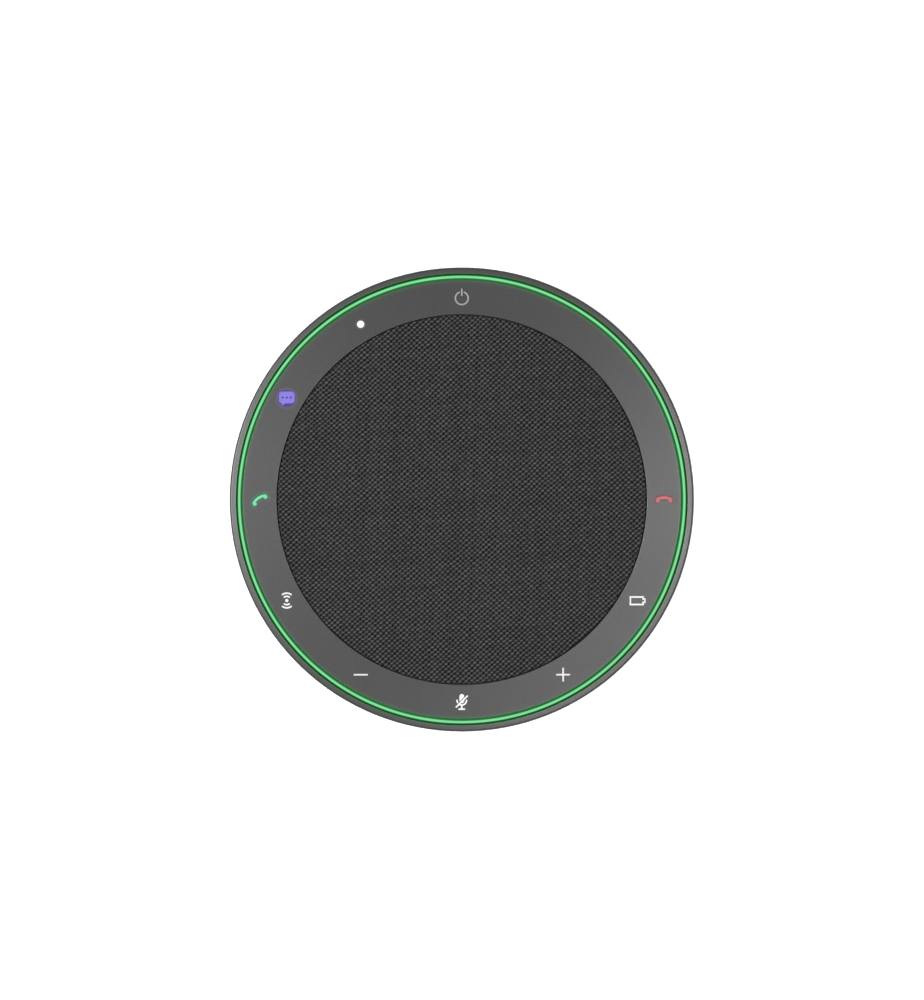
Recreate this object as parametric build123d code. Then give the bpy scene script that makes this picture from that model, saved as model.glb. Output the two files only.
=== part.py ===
from build123d import *
from math import asin, atan2, ceil, cos, degrees, hypot, radians, sin, sqrt, tan
import os

# Conference speakerphone: a shallow round table unit. A crowned cloth grille covers one full-range driver.
# Round the grille runs a plain ring panel with ten light-guide keys, then a thin light ring in a channel,
# then the rounded rim of the upper housing. The lower housing is a bowl on a broad rubber foot ring.
# All sizes are in millimetres. Z is up and z = 0 is the table. +Y is the side of the power key and of the
# USB socket, and -Y is the side of the mute key.

# ---- overall sizes ----
body_diameter = 132.5
body_height = 33.5
body_radius = body_diameter / 2

# ---- fits ----
slip = 0.1            # between fixed pieces that seat in or on each other
key_gap = 0.06        # round a key face in its cut-out
guide_gap = 0.15      # round a key plate in its guide
screw_gap = 0.05      # round a screw's shank in the hole that it bites
board_screw_gap = 0.25

# ---- radial layout of the top, from the rim inwards ----
rim_width = 1.85
channel_width = 1.85
panel_width = 9.8
cloth_gap = 0.2
rim_inner = body_radius - rim_width
panel_outer = rim_inner - channel_width
panel_inner = panel_outer - panel_width
cloth_radius = panel_inner - cloth_gap

# ---- heights of the top ----
cloth_crown = 1.15    # rise of the cloth from its edge to its middle
cloth_thickness = 0.5
panel_drop = 0.95     # from the cloth's crown down to the panel's inner edge
panel_fall = 0.5      # fall of the panel from its inner to its outer edge
rim_step = 0.1        # the rim stands this much below the panel's outer edge
panel_high = body_height - panel_drop
panel_low = panel_high - panel_fall
rim_top = panel_low - rim_step
panel_thickness = 1.6
panel_round_inner = 0.15
panel_round_outer = 0.12
panel_under = panel_low - panel_thickness

# ---- boards, frame and the stack below the panel ----
key_travel = 0.4
key_plate = 1.05      # thickness of a key's plate
dome_height = 0.5
nub_gap = 0.05        # from a key's nub to its dome
nub_height = 0.65
board_thickness = 1.0
frame_plate = 2.0
key_plate_top = panel_under - slip
key_plate_low = key_plate_top - key_plate
board_top = key_plate_low - nub_height - nub_gap - dome_height
frame_top = board_top - board_thickness
frame_low = frame_top - frame_plate

# ---- housings ----
wall = 2.2
foot_stand = 2.0      # the floor's underside stands this high above the table
floor_thickness = 2.2
floor_top = foot_stand + floor_thickness
split_height = 17.0   # middle of the joint line between the housings
seal_height = 0.6
upper_low = split_height + seal_height / 2
lower_high = split_height - seal_height / 2
side_draft = 0.55     # the upper housing's side leans in by this much
bowl_inset = 10.2     # the bowl closes by this much from the joint line to the floor
bowl_centre_rise = 0.8
rim_round = 0.75      # radius of the rim's outer corner
rim_fall = 0.12       # the rim's flat falls outwards by this much
ledge_depth = 3.4     # the upper housing's inner ledge, which carries the frame
ledge_thickness = 2.0
collar_width = 1.4    # the lower housing's locating collar
collar_rise = 1.5
collar_root = 2.6
frame_outer = rim_inner - 2 * slip
upper_inner = body_radius - side_draft - wall

# ---- foot and underside plate ----
foot_width = 10.0
foot_edge = 1.5       # from the floor's edge to the foot
foot_recess = 0.8
foot_grooves = 3
groove_depth = 0.4
groove_width = 0.7
plate_radius = 38.0
plate_thickness = 0.8
plate_recess = 0.5

# ---- keys ----
key_circle_inset = 4.95     # from the middle of the panel's outer edge to the keys' circle
key_circle = panel_outer - key_circle_inset
key_length = 8.4            # along the ring
key_depth = 5.8             # across the ring
nub_radius = 1.2
dome_radius = 2.3
dome_sheet = 0.15
guide_wall = 0.8
web_width = 0.8             # bridge that holds a panel island inside a closed outline
web_thickness = 0.6
handset_bow = 4.3           # radius of the handset mark's handle
chat_rise = 0.28            # the chat bubble's middle above its key's middle
chat_dot_depth = 0.35       # its three dots are sunk this far below the panel's outer edge
key_led = (1.6, 0.8, 0.5)
key_led_offset = 3.2

# ---- light ring ----
light_rib_width = 0.8
light_recess = 0.35         # the rib's top stands below the rim
light_shoulder = 1.15       # from the rib's top down to its shoulders
light_bevel = 0.2
led_count = 24
ring_led = (0.8, 1.6, 0.6)
led_clear = 0.2
channel_height = 0.85

# ---- grille ----
grille_thickness = 1.6
grille_skirt = 1.3
grille_edge = 0.4           # radius of the grille's rounded edge
grille_hole = 3.6
grille_pitch = 5.2
grille_margin = 4.2
lip_width = 1.2
lip_thickness = 0.8
skirt_width = 1.1
outer_skirt_width = 1.15

# ---- loudspeaker ----
flange_radius = 33.5
flange_thickness = 1.0
flange_bore = 28.0
speaker_screw_circle = 31.9
gasket_thickness = 0.6
well_floor = 1.5
well_wall = 1.5
well_gap = 0.4
well_depth = 3.4            # from the frame's top face down to the well's seat
roll_radius = 2.1
roll_sheet = 0.4
cone_radius = 24.3
cone_sheet = 0.5
cone_travel = 2.0           # each way from rest
former_radius = 10.0
former_sheet = 0.2
winding_sheet = 0.48
winding_height = 6.0
pole_gap = 0.4
top_plate_thickness = 2.8
magnet_clear = 1.5          # below the coil former at the end of its stroke
magnet_radius = 18.6
yoke_thickness = 3.0
yoke_radius = 19.0
coil_bore_gap = 0.4
basket_root = 19.5
basket_height = 6.3         # from the basket's floor ring to the flange
basket_sheet = 1.2
basket_floor = 1.0
basket_windows = 6

# ---- electronics ----
main_board_thickness = 1.6
main_board_inner = 36.0
main_board_outer_inset = 9.75
main_board_span = (-6, 186)  # in degrees from +X
socket_size = (8.94, 7.4, 3.26)
socket_sheet = 0.3
socket_middle = 11.5        # height of the USB socket's middle
bezel_opening = (12.9, 7.1)
bezel_wall = 0.7
bezel_back = 0.8
cell_radius = 9.0
cell_length = 65.0
cell_sleeve = 0.2
cell_wall_gap = 3.2         # from the cell's outer corner to the housing
screw_boss_radius = 3.9
case_screw_radius = 1.2
case_head = (2.3, 1.8)
case_screw_length = 10.5
seat_height = 11.5          # where the case screws' heads seat
boss_top = 14.0
board_screw_radius = 0.95
board_head = (1.9, 1.2)
speaker_head = (1.55, 1.1)
panel_screw_head = (1.8, 1.2)
panel_boss_radius = 2.4
mic_under_ledge = 2.2       # from the upper housing's ledge down to the microphones' middle
mic_height = frame_low - ledge_thickness - mic_under_ledge
mic_port_radius = 0.6
mic_boot = (7.0, 2.4, 4.0)
mic_card = (6.0, 0.8, 4.0)
mic_can = (3.0, 1.0, 2.6)
flex_width = 8.0
flex_sheet = 0.3
lead_diameter = 1.6

# ---- places round the unit, in degrees from +X ----
case_screw_angles = (20, 65, 115, 160, 215, 325)
panel_screw_angles = (15, 75, 135, 195, 255, 315)
speaker_screw_angles = (45, 135, 225, 315)
mic_angles = (45, 135, 225, 315)
flex_angle = 45
terminal_angle = 140
case_screw_circle = body_radius - 17.75

# ---- values that several pieces share ----
main_board_low = socket_middle - socket_size[2] / 2 - main_board_thickness
main_board_top = main_board_low + main_board_thickness
main_board_outer = body_radius - main_board_outer_inset
floor_radius = body_radius - side_draft - bowl_inset
foot_outer = floor_radius - foot_edge
foot_inner = foot_outer - foot_width
seat_z = frame_top - well_depth
flange_low = seat_z + gasket_thickness
flange_high = flange_low + flange_thickness
well_radius = flange_radius + well_gap
basket_low = flange_low - basket_height
top_plate_high = basket_low - basket_floor
top_plate_low = top_plate_high - top_plate_thickness
winding_middle = (top_plate_low + top_plate_high) / 2
former_low = winding_middle - winding_height / 2 - 0.3
magnet_low = former_low - cone_travel - magnet_clear
winding_outer = former_radius + winding_sheet
light_bottom = board_top + channel_height + slip
light_rib_top = rim_top - light_recess
light_middle = (rim_inner + panel_outer) / 2
cell_reach = body_radius - wall - cell_wall_gap - 1.8
cell_y = -(sqrt(cell_reach**2 - (cell_length / 2) ** 2) - cell_radius - cell_sleeve)
cell_z = floor_top + cell_radius + cell_sleeve + 0.4
grille_radius = cloth_radius - cloth_thickness
lip_top = board_top + 1.0
mic_board_face = upper_inner - mic_boot[1]

parts = {}


# ---------------------------------------------------------------- shapes
def polar(radius, angle, z=0.0):
    return Vector(radius * cos(radians(angle)), radius * sin(radians(angle)), z)


def disc(radius, low, high):
    return Pos(0, 0, low) * extrude(Circle(radius), high - low)


def ring(inner, outer, low, high):
    return Pos(0, 0, low) * extrude(Circle(outer) - Circle(inner), high - low)


def turned(*points):
    """A solid of revolution from corners given as (radius, height)."""
    return revolve(Plane.XZ * make_face(Polyline(*points, close=True)), Axis.Z)


def block(length, width, low, high, x=0.0, y=0.0, turn=0.0):
    """A box on the XY plane, turned about its own middle."""
    flat = Pos(x, y, low) * Rot(0, 0, turn) * Rectangle(length, width)
    return extrude(flat, high - low, dir=(0, 0, 1))


def polar_block(radial, along, low, high, radius, angle):
    """A box whose first size points away from the axis."""
    return Rot(0, 0, angle) * block(radial, along, low, high, x=radius)


def post(radius, low, high, at):
    return Pos(at.X, at.Y, 0) * disc(radius, low, high)


def screws(shank, head, seat, length, circle, angles, head_above=False):
    """Pan-head screws on a circle, with the head under the seat, or on it, and the shank the other way."""
    way = -1 if head_above else 1
    found = []
    for angle in angles:
        drive = RegularPolygon(head[0] * 0.45, 6)
        screw = disc(head[0], 0, head[1]) - extrude(drive, head[1] * 0.6)
        screw += disc(shank, head[1], head[1] + length)
        if way < 0:
            screw = Rot(180, 0, 0) * screw
        found.append(Pos(polar(circle, angle, seat - way * head[1])) * screw)
    return found


def radial_drill(radius, length, at_radius, angle, z):
    """A rod that points at the axis, for holes drilled through the side."""
    return Pos(polar(at_radius, angle, z)) * Rot(0, 0, angle) * Rot(0, 90, 0) * Cylinder(radius, length)


def save(name, *solids):
    """Keeps a node under its name, as one solid or a group of separate ones."""
    flat = []
    for solid in solids:
        flat += list(solid) if isinstance(solid, (list, ShapeList)) else [solid]
    found = [one for shape in flat for one in shape.solids()]
    parts[name] = found[0] if len(found) == 1 else Compound(children=found)


def crown_ball(top, edge_radius, rise):
    """A ball whose cap has its crown at top and falls by rise at edge_radius."""
    ball_radius = (edge_radius**2 + rise**2) / (2 * rise)
    return Pos(0, 0, top - ball_radius) * Sphere(ball_radius)


# ---------------------------------------------------------------- key faces, drawn upright about their middle
def bar(length, width, grow, x=0.0, y=0.0, turn=0.0):
    flat = Rectangle(length + 2 * grow, width + 2 * grow)
    return Pos(x, y) * Rot(0, 0, turn) * flat


def sector(start, end, reach):
    """A fan from the origin between two angles."""
    steps = ceil((end - start) / 45)
    rim = [polar(reach, start + (end - start) * k / steps) for k in range(steps + 1)]
    return make_face(Polyline(Vector(0, 0, 0), *rim, close=True))


def arc_stroke(radius, width, start, end, grow):
    """A round-ended stroke along an arc about the origin."""
    half = width / 2 + grow
    band = Circle(radius + half) - Circle(radius - half)
    if end - start > 180:
        band = band - sector(end, start + 360, 2 * radius)
    else:
        band = band & sector(start, end, 2 * radius)
    for angle in (start, end):
        band = band + Pos(polar(radius, angle)) * Circle(half)
    return band


def power_face(grow):
    loop = arc_stroke(1.83, 0.33, 113, 427, grow)
    return Pos(0, -0.2) * loop + bar(0.31, 2.0, grow, y=1.49)


def dot_face(grow):
    return Pos(-0.04, 0.08) * Circle(0.98 + grow)


def chat_face(grow):
    bubble = Pos(0, chat_rise) * RectangleRounded(4.5 + 2 * grow, 3.4 + 2 * grow, 1.0 + grow)
    tail = Polyline((-1.4 - grow, -0.8), (0.3 + 2 * grow, -0.8), (-1.4 - grow, -2.15 - 2 * grow), close=True)
    return bubble + make_face(tail)


def handset_face(grow):
    handle = Pos(0, 0.38 - handset_bow) * arc_stroke(handset_bow, 0.66, 66, 114, grow)
    end = RectangleRounded(1.0 + 2 * grow, 1.15 + 2 * grow, 0.28 + grow)
    left = Pos(-1.82, -0.34) * Rot(0, 0, -10) * end
    right = Pos(1.82, -0.34) * Rot(0, 0, 10) * end
    return handle + left + right


def hang_up_face(grow):
    return Pos(0.11, 0.15) * handset_face(grow)


def answer_face(grow):
    return Pos(-0.15, 0.13) * Rot(0, 0, 33) * handset_face(grow)


def waves_face(grow):
    face = Circle(0.42 + grow)
    for radius in (1.2, 2.1):
        for middle in (90, 270):
            face = face + arc_stroke(radius, 0.36, middle - 36, middle + 36, grow)
    return face


def minus_face(grow):
    return bar(3.95, 0.37, grow, y=-0.08)


def plus_face(grow):
    return Pos(0.1, -0.06) * (bar(3.85, 0.38, grow) + bar(0.38, 3.85, grow))


def mute_face(grow):
    capsule = Pos(0, 0.83) * Rot(0, 0, 90) * SlotOverall(2.55 + 2 * grow, 1.24 + 2 * grow)
    cradle = Pos(0, 0.35) * arc_stroke(1.35, 0.34, 180, 360, grow)
    stand = bar(0.34, 0.95, grow, y=-1.55)
    base = bar(1.85, 0.36, grow, y=-2.18)
    slash = bar(4.7, 0.35, grow, turn=45)
    parting = bar(7.0, 0.3 - 2 * grow, 0.0, x=-0.25, y=0.25, turn=45)
    return ((capsule + cradle + stand + base) - parting) + slash


def battery_outline(inset):
    half_long, half_high, tip_long, tip_half = 2.26, 1.26, 0.5, 0.62
    shoulder = half_long - tip_long
    upper = [(half_long, tip_half), (shoulder, tip_half), (shoulder, half_high), (-half_long, half_high)]
    corners = [(x, -y) for x, y in reversed(upper)] + upper
    outline = make_face(Polyline(*corners, close=True))
    return offset(outline, -inset, kind=Kind.INTERSECTION) if inset else outline


def battery_face(grow):
    return Pos(0.25, -0.07) * (battery_outline(-grow) - battery_outline(0.38 + grow))


# name, angle, face
keys = [
    ("hang_up_key", 0, hang_up_face),
    ("power_key", 90, power_face),
    ("smart_key", 120, dot_face),
    ("chat_key", 150, chat_face),
    ("answer_key", 180, answer_face),
    ("pairing_key", 210, waves_face),
    ("volume_down_key", 240, minus_face),
    ("mute_key", 270, mute_face),
    ("volume_up_key", 300, plus_face),
    ("battery_key", 330, battery_face),
]
key_places = {name: polar(key_circle, angle) for name, angle, _ in keys}


def web(at, high):
    """The two bridges that carry the battery outline's island, across its short ends."""
    return block(5.6, web_width, panel_under, high, x=at.X, y=at.Y)


# ---------------------------------------------------------------- housings
def body_envelope():
    """The whole outside shape below the rim as one solid, which trims what ends flush with the housing."""
    side_low = body_radius - side_draft
    bowl_x = bowl_centre_radius()
    bowl_r = side_low - bowl_x
    low_x = bowl_x + sqrt(bowl_r**2 - (split_height + bowl_centre_rise - foot_stand) ** 2)
    corner_x, corner_z = body_radius - rim_round, rim_top - rim_fall - rim_round
    bend = polar(rim_round, 45)
    outline = Polyline((0, rim_top), (rim_inner, rim_top), (corner_x, corner_z + rim_round))
    outline += ThreePointArc(
        (corner_x, corner_z + rim_round),
        (corner_x + bend.X, corner_z + bend.Y),
        (body_radius, corner_z),
    )
    outline += Line((body_radius, corner_z), (side_low, split_height))
    middle = polar(bowl_r, -42)
    outline += ThreePointArc(
        (side_low, split_height),
        (bowl_x + middle.X, split_height + bowl_centre_rise + middle.Y),
        (low_x, foot_stand),
    )
    outline += Polyline((low_x, foot_stand), (0, foot_stand), (0, rim_top))
    return revolve(Plane.XZ * make_face(outline), Axis.Z)


def bowl_centre_radius():
    """Radius of the circle on which the bowl's arc is centred, so that it meets the floor at floor_radius."""
    top_rise = bowl_centre_rise
    low_rise = split_height + bowl_centre_rise - foot_stand
    top = body_radius - side_draft
    return (top**2 - floor_radius**2 + top_rise**2 - low_rise**2) / (2 * (top - floor_radius))


def bowl_inner(height):
    """Inside radius of the lower housing's wall at a height."""
    centre = bowl_centre_radius()
    reach = body_radius - side_draft - centre - wall
    return centre + sqrt(reach**2 - (split_height + bowl_centre_rise - height) ** 2)


def lower_cavity():
    low, middle, high = [(bowl_inner(h), h) for h in (floor_top, (floor_top + lower_high) / 2, lower_high)]
    outline = Line((0, floor_top), low) + ThreePointArc(low, middle, high)
    outline += Polyline(high, (high[0], lower_high + 5), (0, lower_high + 5), (0, floor_top))
    return revolve(Plane.XZ * make_face(outline), Axis.Z)


def upper_housing():
    shell = body_envelope() & disc(body_radius + 1, upper_low, rim_top + 1)
    shell -= disc(rim_inner, frame_low - slip, rim_top + 1)
    shell -= disc(upper_inner - ledge_depth, frame_low - ledge_thickness - 1, rim_top)
    shell -= disc(upper_inner, upper_low - 1, frame_low - ledge_thickness)
    low, high = mic_height - mic_boot[2] / 2 - 0.5, frame_low - ledge_thickness
    for angle in mic_angles:
        for side in (-1, 1):
            offset_along = side * (mic_boot[0] / 2 + 0.6)
            rib = Rot(0, 0, angle) * block(4.4, 0.9, low, high, upper_inner - 2.0, offset_along)
            shell += rib & disc(upper_inner + wall / 2, low, high)
        shell -= radial_drill(mic_port_radius, 4 * wall, upper_inner, angle, mic_height)
        ledge = upper_inner - ledge_depth
        shell -= polar_block(1.6, 4.2, frame_low - ledge_thickness - 1, frame_low, ledge, angle)
    return shell


def socket_front():
    """How far from the axis the mouth of the USB socket stands."""
    return bowl_inner(socket_middle) - 1.6


def bezel_box(extra, low_y):
    """The outer block of the USB bezel, grown by extra."""
    width, height = [size + 2 * bezel_wall + 2 * extra for size in bezel_opening]
    flat = Plane.XZ * RectangleRounded(width, height, 1.5)
    return Pos(0, low_y, socket_middle) * extrude(flat, -14)


def lower_housing():
    shell = (body_envelope() & disc(body_radius + 1, foot_stand, lower_high)) - lower_cavity()
    collar_outer = upper_inner - 2 * slip
    shell += ring(collar_outer - collar_width, upper_inner + 0.4, lower_high - collar_root, lower_high)
    shell += ring(collar_outer - collar_width, collar_outer, lower_high - 0.1, lower_high + collar_rise)
    shell -= ring(foot_inner - slip, foot_outer + slip, foot_stand - 1, foot_stand + foot_recess)
    shell -= disc(plate_radius + slip, foot_stand - 1, foot_stand + plate_recess)
    for angle in case_screw_angles:
        at = polar(case_screw_circle, angle)
        shell += post(screw_boss_radius, foot_stand + foot_recess, boss_top, at)
        shell -= post(case_head[0] + 0.4, foot_stand - 1, seat_height, at)
        shell -= post(case_screw_radius + board_screw_gap, seat_height - 1, boss_top + 1, at)
    for at in board_screw_places():
        shell += post(2.6, floor_top - 0.5, main_board_low, at)
        shell -= post(board_screw_radius + screw_gap, floor_top, main_board_low + 1, at)
    for side in (-1, 1):
        x = side * (cell_length / 2 + 2.2)
        shell += block(1.6, 12, floor_top - 0.5, floor_top + 7, x, cell_y)
    shell -= bezel_box(slip, socket_front() - bezel_back - slip)
    return shell


def case_seal():
    outer = body_radius - side_draft - 0.8
    return ring(upper_inner + slip, outer, lower_high, upper_low)


def rubber_foot():
    foot = ring(foot_inner, foot_outer, 0, foot_stand + foot_recess)
    foot = fillet(foot.edges().group_by(Axis.Z)[0], 0.6)
    step = foot_width / (foot_grooves + 1)
    for k in range(foot_grooves):
        middle = foot_inner + (k + 1) * step
        foot -= ring(middle - groove_width / 2, middle + groove_width / 2, -1, groove_depth)
    return foot


def base_plate():
    low = foot_stand + plate_recess - plate_thickness
    plate = disc(plate_radius, low, foot_stand + plate_recess)
    plate = fillet(plate.edges().group_by(Axis.Z)[0], 0.3)
    return plate - Pos(0, 0, low) * extrude(RectangleRounded(44, 26, 3), 0.2)


# ---------------------------------------------------------------- top panel, keys and light ring
def panel_profile(extra_up=0.0):
    """The panel's upper skin as a ring, from its underside to its sloping top."""
    return turned(
        (panel_inner, panel_under),
        (panel_outer, panel_under),
        (panel_outer, panel_low + extra_up),
        (panel_inner, panel_high + extra_up),
    )


def key_panel():
    panel = panel_profile()
    panel = fillet(panel.edges().group_by(Axis.Z)[-1], panel_round_inner)
    outer_edge = panel.edges().filter_by(lambda e: abs(e.center().Z - panel_low) < 0.05 and e.length > 100)
    panel = fillet(outer_edge, panel_round_outer)
    panel += ring(panel_inner, panel_inner + skirt_width, frame_top + slip / 2, panel_under)
    panel += ring(panel_inner - lip_width, panel_inner + 0.2, lip_top - lip_thickness, lip_top)
    panel += ring(panel_outer - outer_skirt_width, panel_outer, board_top + slip / 2, panel_under)
    guide_low = key_plate_low - 0.6
    for name, angle, face in keys:
        at = key_places[name]
        inner = (key_depth + 2 * guide_gap, key_length + 2 * guide_gap)
        outer = (inner[0] + 2 * guide_wall, inner[1] + 2 * guide_wall)
        guide = extrude(Rectangle(*outer) - Rectangle(*inner), panel_under - guide_low)
        guide = Rot(0, 0, angle) * Pos(key_circle, 0, guide_low) * guide
        panel += guide & ring(panel_inner, panel_outer, guide_low, panel_under)
        cut = Pos(at.X, at.Y, panel_under - 0.5) * extrude(face(key_gap), 4)
        if face is battery_face:
            cut -= web(at, panel_under + web_thickness)
        panel -= cut
    for at in [polar(key_circle, a) for a in panel_screw_angles]:
        panel += post(panel_boss_radius, frame_top + slip / 2, panel_under, at)
        panel -= post(board_screw_radius + screw_gap, frame_top - 1, panel_under - 0.6, at)
    return panel - polar_block(6, flex_width + 1.5, frame_top - 1, board_top + 1.5, panel_inner, flex_angle)


def key(name, angle, face):
    """A light-guide key: its plate, the face that fills its cut-out flush, and the nub over its dome."""
    at = key_places[name]
    plate = extrude(RectangleRounded(key_depth, key_length, 1.0), key_plate)
    body = Rot(0, 0, angle) * Pos(key_circle, 0, key_plate_low) * plate
    raised = Pos(at.X, at.Y, key_plate_low) * extrude(face(0.0), 6)
    body += raised & turned(
        (panel_inner, key_plate_low),
        (panel_outer, key_plate_low),
        (panel_outer, panel_low),
        (panel_inner, panel_high),
    )
    if face is battery_face:
        notch_top = panel_under + web_thickness + key_travel + key_gap
        body -= block(5.6, web_width + 2 * key_gap, key_plate_top, notch_top, x=at.X, y=at.Y)
    if face is chat_face:
        for x in (-1.15, 0, 1.15):
            body -= Pos(at.X + x, at.Y + chat_rise, panel_low - chat_dot_depth) * extrude(Circle(0.32), 2)
    return body + post(nub_radius, key_plate_low - nub_height, key_plate_low, at)


def key_domes():
    """One snap dome under each key: a flat crown, a shallow slope and a steeper skirt down to the board."""
    crown, shoulder, skirt = board_top + dome_height, 0.4 * dome_radius, 0.8 * dome_radius
    dome = turned(
        (0, crown),
        (shoulder, crown - 0.08 * dome_height),
        (skirt, crown - 0.5 * dome_height),
        (dome_radius, board_top),
        (dome_radius - 1.6 * dome_sheet, board_top),
        (skirt - 0.3 * dome_sheet, crown - 0.5 * dome_height - dome_sheet),
        (shoulder, crown - 0.08 * dome_height - dome_sheet),
        (0, crown - dome_sheet),
    )
    return [Pos(at.X, at.Y) * dome for at in key_places.values()]


def light_ring():
    half = light_rib_width / 2
    rib = ring(light_middle - half, light_middle + half, light_rib_top - light_shoulder - 0.1, light_rib_top)
    rib = fillet(rib.edges().group_by(Axis.Z)[-1], light_bevel)
    shoulder_top = light_rib_top - light_shoulder
    return rib + ring(panel_outer + 1.5 * slip, rim_inner - 1.5 * slip, light_bottom, shoulder_top)


def led_angles():
    return [360 / led_count * (k + 0.5) for k in range(led_count)]


def light_channel():
    """The ring that parts the lamps and holds the light ring up."""
    channel = ring(panel_outer + 1.5 * slip, rim_inner - 1.5 * slip, board_top, board_top + channel_height)
    pocket = (ring_led[0] + led_clear, ring_led[1] + 2 * led_clear)
    for angle in led_angles():
        channel -= polar_block(*pocket, board_top - 1, board_top + channel_height + 1, light_middle, angle)
    return channel


def ring_leds():
    top = board_top + ring_led[2]
    return [polar_block(ring_led[0], ring_led[1], board_top, top, light_middle, a) for a in led_angles()]


def key_leds():
    found = []
    for name, angle, _ in keys:
        lamp = block(key_led[1], key_led[0], board_top, board_top + key_led[2], key_circle, key_led_offset)
        found.append(Rot(0, 0, angle) * lamp)
    return found


def key_board():
    board = ring(panel_inner + skirt_width + 2 * slip, rim_inner - 2 * slip, frame_top, board_top)
    for at in [polar(key_circle, a) for a in panel_screw_angles]:
        board -= post(panel_boss_radius + slip, frame_top - 1, board_top + 1, at)
    return board


# ---------------------------------------------------------------- frame and grille
def mid_frame():
    frame = ring(well_radius, frame_outer, frame_low, frame_top)
    frame += ring(well_radius, well_radius + well_wall, seat_z - well_floor, frame_low)
    frame += ring(flange_bore + basket_sheet + 1.2, well_radius + 0.5, seat_z - well_floor, seat_z)
    for at in [polar(speaker_screw_circle, a) for a in speaker_screw_angles]:
        frame += post(1.9, seat_z - well_floor - 2, seat_z - well_floor, at)
        frame -= post(board_screw_radius + screw_gap, seat_z - well_floor - 3, seat_z + 1, at)
    for at in [polar(case_screw_circle, a) for a in case_screw_angles]:
        frame += post(screw_boss_radius - 0.6, boss_top + slip, frame_low, at)
        frame -= post(case_screw_radius + screw_gap, boss_top - 1, frame_low - 1, at)
    for at in [polar(key_circle, a) for a in panel_screw_angles]:
        frame -= post(board_screw_radius + board_screw_gap, frame_low - 1, frame_top + 1, at)
    rib_top = lip_top + 0.2
    rib_length = panel_inner - lip_width - 1.0 - (well_radius + well_wall)
    for k in range(8):
        middle = well_radius + well_wall + rib_length / 2 - 0.5
        frame += polar_block(rib_length, 1.2, frame_top - 0.5, rib_top, middle, 22.5 + 45 * k)
    slot = polar_block(1.8, flex_width + 1.4, frame_low - 1, frame_top + 1, flex_radius(), flex_angle)
    frame -= slot
    card_face = mic_board_face - mic_card[1]
    for angle in mic_angles:
        frame -= polar_block(1.0, 4.2, frame_low - 1, frame_top + 1, card_face - 0.1, angle)
    return frame


def flex_radius():
    """Where the key flex drops through the frame."""
    return panel_inner - lip_width - 0.2


def grille_plate():
    top = body_height - cloth_thickness
    shell = crown_ball(top, grille_radius, cloth_crown) & disc(grille_radius, lip_top, top + 1)
    edge = shell.edges().filter_by(lambda e: e.center().Z > lip_top + 0.5 and e.length > 100)
    shell = fillet(edge, grille_edge)
    under = crown_ball(top - grille_thickness, grille_radius, cloth_crown)
    shell -= under & disc(grille_radius - grille_skirt, 0, top + 1)
    row = grille_pitch * sqrt(3) / 2
    reach = grille_radius - grille_margin
    count = ceil(reach / row) + 1
    rims = []
    for j in range(-count, count + 1):
        for i in range(-count, count + 1):
            x, y = (i + 0.5 * (j % 2)) * grille_pitch, j * row
            if hypot(x, y) < reach:
                rims.append(Pos(x, y) * Wire.make_circle(grille_hole / 2))
    sieve = Face(Wire.make_circle(grille_radius + 1), rims)
    return shell & extrude(Pos(0, 0, lip_top - 1) * sieve, top - lip_top + 3, dir=(0, 0, 1))


def grille_cloth():
    low = lip_top + 0.6
    outer = crown_ball(body_height, grille_radius, cloth_crown) & disc(cloth_radius, low, body_height + 1)
    edge = outer.edges().filter_by(lambda e: e.center().Z > low + 0.5 and e.length > 100)
    outer = fillet(edge, grille_edge + cloth_thickness)
    inner = crown_ball(body_height - cloth_thickness, grille_radius, cloth_crown)
    inner = inner & disc(grille_radius + slip / 2, low - 1, body_height)
    edge = inner.edges().filter_by(lambda e: e.center().Z > low and e.length > 100)
    return outer - fillet(edge, grille_edge)


# ---------------------------------------------------------------- loudspeaker
def basket_line():
    """The basket's sloping wall as its foot radius and its top radius."""
    return basket_root, flange_bore


def speaker_frame():
    foot, top = basket_line()
    bore = winding_outer + coil_bore_gap + 0.7
    frame = ring(bore, foot + basket_sheet, top_plate_high, basket_low)
    wall_part = turned(
        (foot, basket_low - 0.5),
        (foot + basket_sheet, basket_low - 0.5),
        (top + basket_sheet, flange_low),
        (top, flange_low),
    )
    ledge_low = basket_low + 1.6
    wall_part += ring(foot + 0.6, spider_outer() + 0.4, ledge_low, ledge_low + 0.8)
    for k in range(basket_windows):
        angle = terminal_angle + 30 + 360 / basket_windows * k
        wall_part -= polar_block(30, 9, basket_low + 2.7, flange_low - 0.8, foot + 15, angle)
    frame += wall_part
    flange = ring(flange_bore, flange_radius, flange_low, flange_high)
    for at in [polar(speaker_screw_circle, a) for a in speaker_screw_angles]:
        flange -= post(board_screw_radius + board_screw_gap, flange_low - 1, flange_high + 1, at)
    return frame + flange


def spider_outer():
    """The spider ends where the basket's wall passes its ledge."""
    foot, top = basket_line()
    return foot + (top - foot) * (1.6 + 0.8) / basket_height


def spider_z():
    return basket_low + 2.4


def speaker_spider():
    """A corrugated disc from the coil former to the basket's ledge."""
    waves, rise, sheet = 5, 0.45, 0.3
    inner, outer = former_radius + 0.4, spider_outer() - 1.9
    step = (outer - inner) / (2 * waves)
    ridge = [(inner + step * k, spider_z() + (rise if k % 2 else 0)) for k in range(2 * waves + 1)]
    upper = [(former_radius + 0.02, spider_z() + sheet)] + [(r, z + sheet) for r, z in ridge]
    lower = [(former_radius + 0.02, spider_z())] + ridge
    end = spider_outer() - 0.3
    return turned(*lower, (end, spider_z()), (end, spider_z() + sheet), *reversed(upper))


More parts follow.
